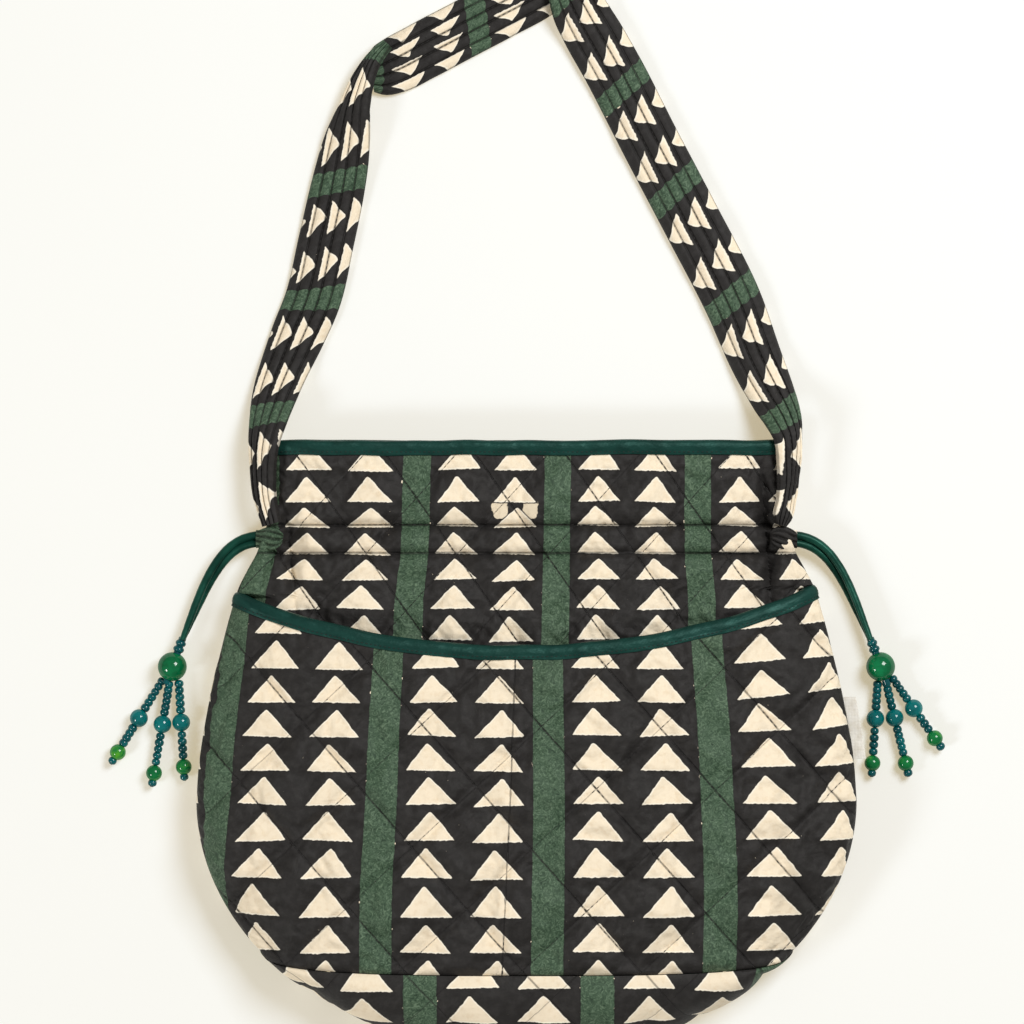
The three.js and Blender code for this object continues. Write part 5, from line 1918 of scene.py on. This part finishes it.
for side, sign in SIDES.items():
    middle, axis = large_bead_line(sign)
    first = LARGE_BEAD["width"] / 2 + CLEAR + COLLAR_LENGTH / 2
    beads_at = first + COLLAR_LENGTH * np.arange(COLLAR_COUNT)
    at = np.array([-first, *beads_at, first + COLLAR_LENGTH * COLLAR_TAIL])
    marks = np.array([False] + [True] * COLLAR_COUNT + [False])
    collar = polylines(f"collar_seeds_{side}", [middle + at[:, None] * axis], marks)
    seeds.make(collar, **COLLAR_SIZES, **SEED_LOOKS, seed=7)
    wear(collar, "teal_bead", f"collar_{side}")
bpy.data.objects.remove(SEED_PATTERN)

# %% [markdown]
# ## Stitches
# Quilting is a running stitch in black thread. Each stitch is a small grain with rounded ends, lying in
# the groove that the thread has pulled. The lines are found on the cloth itself, so that they follow
# every swelling.

# %% Stitch recipe
def sewing_thread(name, dark, light, roughness):
    """Twisted thread in two close shades."""
    thread = Finish(name)
    twist = thread.noise(thread.objects_place(), scale=2.5, detail=2)
    thread.set(Base_Color=thread.mix(twist, dark, light), Roughness=roughness + 0.2 * twist)
    return thread


black_thread = sewing_thread("black_thread", paint(24, 23, 23), paint(44, 42, 41), roughness=0.6)
green_thread = sewing_thread("green_thread", paint(6, 24, 20), paint(14, 40, 33), roughness=0.55)

stitches = Recipe("stitch_row", length="Float", width="Float", pitch="Float", finish="Material", seed="Int")
line, spots, facing = stitches.along_line("LENGTH", Length=stitches.start.other("pitch"))
grain = stitches.add("GeometryNodeMeshUVSphere", {}, {"Segments": 6, "Rings": 5, "Radius": 0.5})
width = stitches.start.other("width")
long_size = stitches.start.other("length") * stitches.uneven(0.8, 1.1)
size = stitches.add("ShaderNodeCombineXYZ", {}, {0: long_size, 1: width, 2: width})
grains = {"Points": spots, "Instance": grain, "Rotation": facing, "Scale": size}
stitches.end(stitches.add("GeometryNodeInstanceOnPoints", {}, grains))
print("nodes in the stitch recipe:", len(stitches.tree.nodes))

# %% Stitch lines on the cloth
RUNNING = dict(length=2.4 * MM, width=0.42 * MM, pitch=3 * MM)
SMALL = dict(length=1.5 * MM, width=0.55 * MM, pitch=2.3 * MM)
THREAD_LIFT, STRAP_THREAD_LIFT = 0.16, 0.1
SHORTEST_RUN, SEWN_SHORT, SEWN_ACROSS, SEWN_BEHIND = 4, 3, 0.985, 25
LINES_EACH_WAY = 6


def split_runs(points, keep):
    """The stretches of a line that are kept, where they are long enough to sew."""
    edges = np.flatnonzero(np.diff(np.concatenate([[0], keep.astype(int), [0]])))
    return [points[a:b] for a, b in zip(edges[::2], edges[1::2]) if b - a > SHORTEST_RUN]


def sewn(cloth_at, plan, rows, low, high):
    """A line in plan laid on a panel's cloth, between the panel's own lower and upper edges."""
    x, y = plan[:, 0], plan[:, 1]
    across = x / (outline(np.maximum(y, SEAM_Y)) - inset(rows, x, y))
    station = np.clip(across, -1, 1)
    inside = (np.abs(across) < SEWN_ACROSS) & (y > low(station)) & (y < high(station))
    across = np.clip(across, -0.999, 0.999)
    outer, inner, _ = cloth_at(across, y)
    return split_runs(outer + THREAD_LIFT * unit(outer - inner), inside)


def front_low(across):
    """Stitches of the front run on a little way behind the pocket."""
    return np.maximum(pocket_top(across) - SEWN_BEHIND, seam_y(across))


def front_high(across):
    return FRONT_TOP - TAPE_WIDTH + 0 * across


def pocket_low(across):
    return seam_y(across) + 1


def pocket_high(across):
    return pocket_top(across) - TAPE_WIDTH


def stitch(name, runs, sizes, finish, seed, slot="quilted_print"):
    """Stitches along runs of points, as one piece."""
    made = polylines(name, runs)
    stitches.make(made, **sizes, finish=finish.material, seed=seed)
    wear(made, slot)
    print(f"{name}: {len(made.data.polygons)} faces")
    return made


front_runs, pocket_runs = [], []
for family in (0, 1):
    for plan in BODY_QUILTING.lines(family, 20, FRONT_TOP, LINES_EACH_WAY):
        front_runs += sewn(front_cloth, plan, FRONT, front_low, front_high)
    for plan in POCKET_QUILTING.lines(family, -106, 95, LINES_EACH_WAY):
        pocket_runs += sewn(pocket_cloth, plan, POCKET, pocket_low, pocket_high)
casing_x = np.arange(-128, 128.5, 1.0)
for line_y in (CASING_TOP, CASING_BOTTOM):
    plan = np.stack([casing_x, line_y + casing_wave(casing_x)], -1)
    front_runs += sewn(front_cloth, plan, FRONT, front_low, front_high)
seam_run = np.arange(-106, 60, 1.0)
plan = np.stack([pocket_seam_x(seam_run), seam_run], -1)
pocket_runs += sewn(pocket_cloth, plan, POCKET, pocket_low, pocket_high)
front_stitches = stitch("front_stitches", front_runs, RUNNING, black_thread, seed=1)
pocket_stitches = stitch("pocket_stitches", pocket_runs, RUNNING, black_thread, seed=2)

# %% Stitches on the tapes and the strap
TAPE_STITCH_UP = -TAPE_WIDTH + 1.5


def tape_line(stations):
    middle, up, out = stations
    return middle + TAPE_LEG * out + TAPE_STITCH_UP * up


mouth_line = tape_line(mouth_stations)[: len(MOUTH_FRONT)]
tape_runs = [line[SEWN_SHORT:-SEWN_SHORT] for line in (mouth_line, tape_line(pocket_stations))]
tape_stitches = stitch("tape_stitches", tape_runs, SMALL, green_thread, seed=3, slot="satin_binding")

strap_runs = []
for seed, (name, frame_rows) in enumerate(strap_frames.items()):
    for rib in range(1, STRAP_RIBS):
        line = strap_point(frame_rows, rib / STRAP_RIBS - 0.5, 1, STRAP_SEED + seed)
        strap_runs.append((line + STRAP_THREAD_LIFT * frame_rows[2])[SEWN_SHORT:-SEWN_SHORT])
stitch("strap_stitches", strap_runs, RUNNING, black_thread, seed=4)

# %% [markdown]
# ## The cords' lengths
# A cord's length runs from the slit to its collar of beads. Its start, length and path are worked out in
# metres.

# %% Cords
for (side, strand), (cord, path, length) in cords.items():
    tuple(path[0] * MM)
    length * MM
    path * MM
print("declared", len(cords), "cords, 4 sheets and a padded strap")

# %% [markdown]
# ## Floor and light
# A large soft light stands at the upper right and a weaker one at the lower left, as two spots on each
# bead show. The floor glows a little, though it is no lamp: painted light that keeps the shadows pale and
# warm.

# %% Floor and light
FLOOR_SIZE = 8.0
FLOOR_GLOW = (0.48, 0.4, 0.255, 1)
FLOOR_DROP = 0.3
FLOOR_DARK, FLOOR_LIGHT = (0.47, 0.55, 0.66, 1), (0.49, 0.57, 0.68, 1)
ROOM_TINT, ROOM_STRENGTH = (1.0, 0.955, 0.885, 1), 0.22
AIM = Vector((0, 0.12, 0))

floor_finish = Finish("pale_floor")
tone = floor_finish.noise(floor_finish.objects_place(), scale=0.004, detail=3)
floor_finish.set(Base_Color=floor_finish.mix(tone, FLOOR_DARK, FLOOR_LIGHT), Roughness=0.95)
# Painted light: the floor's own glow lifts its shadows.
floor_finish.set(Emission_Color=FLOOR_GLOW, Emission_Strength=1.0, Specular_IOR_Level=0.0)
corners = np.array([(-1, -1, 0), (1, -1, 0), (1, 1, 0), (-1, 1, 0)]) * FLOOR_SIZE / 2 / MM
corners = corners - (0, 0, FLOOR_DROP)
floor = piece("floor", corners, np.array([[0, 1, 2, 3]]), floor_finish)


def softbox(name, heading, from_above, distance, size, power, colour):
    """A square area light: its compass heading from +X, its angle from straight above, in degrees."""
    light = bpy.data.lights.new(name, "AREA")
    light.size = size
    light.energy = power
    light.color = colour
    turn, tip = math.radians(heading), math.radians(from_above)
    away = Vector((math.sin(tip) * math.cos(turn), math.sin(tip) * math.sin(turn), math.cos(tip)))
    made = bpy.data.objects.new(name, light)
    made.location = AIM + distance * away
    made.rotation_euler = away.to_track_quat("Z", "Y").to_euler()
    scene.collection.objects.link(made)


softbox(
    "key_light", heading=42, from_above=36, distance=2.2, size=0.9, power=40, colour=(1.0, 0.995, 0.985)
)
softbox(
    "fill_light", heading=212, from_above=56, distance=2.4, size=0.5, power=21, colour=(1.0, 0.98, 0.95)
)
world = bpy.data.worlds.new("studio")
scene.world = world
world.use_nodes = True
background = world.node_tree.nodes["Background"]
background.inputs["Color"].default_value = ROOM_TINT
background.inputs["Strength"].default_value = ROOM_STRENGTH
scene.view_settings.view_transform = "Standard"

# %% [markdown]
# ## Finish
# The view layer is brought up to date.

# %% Finish
bpy.context.view_layer.update()
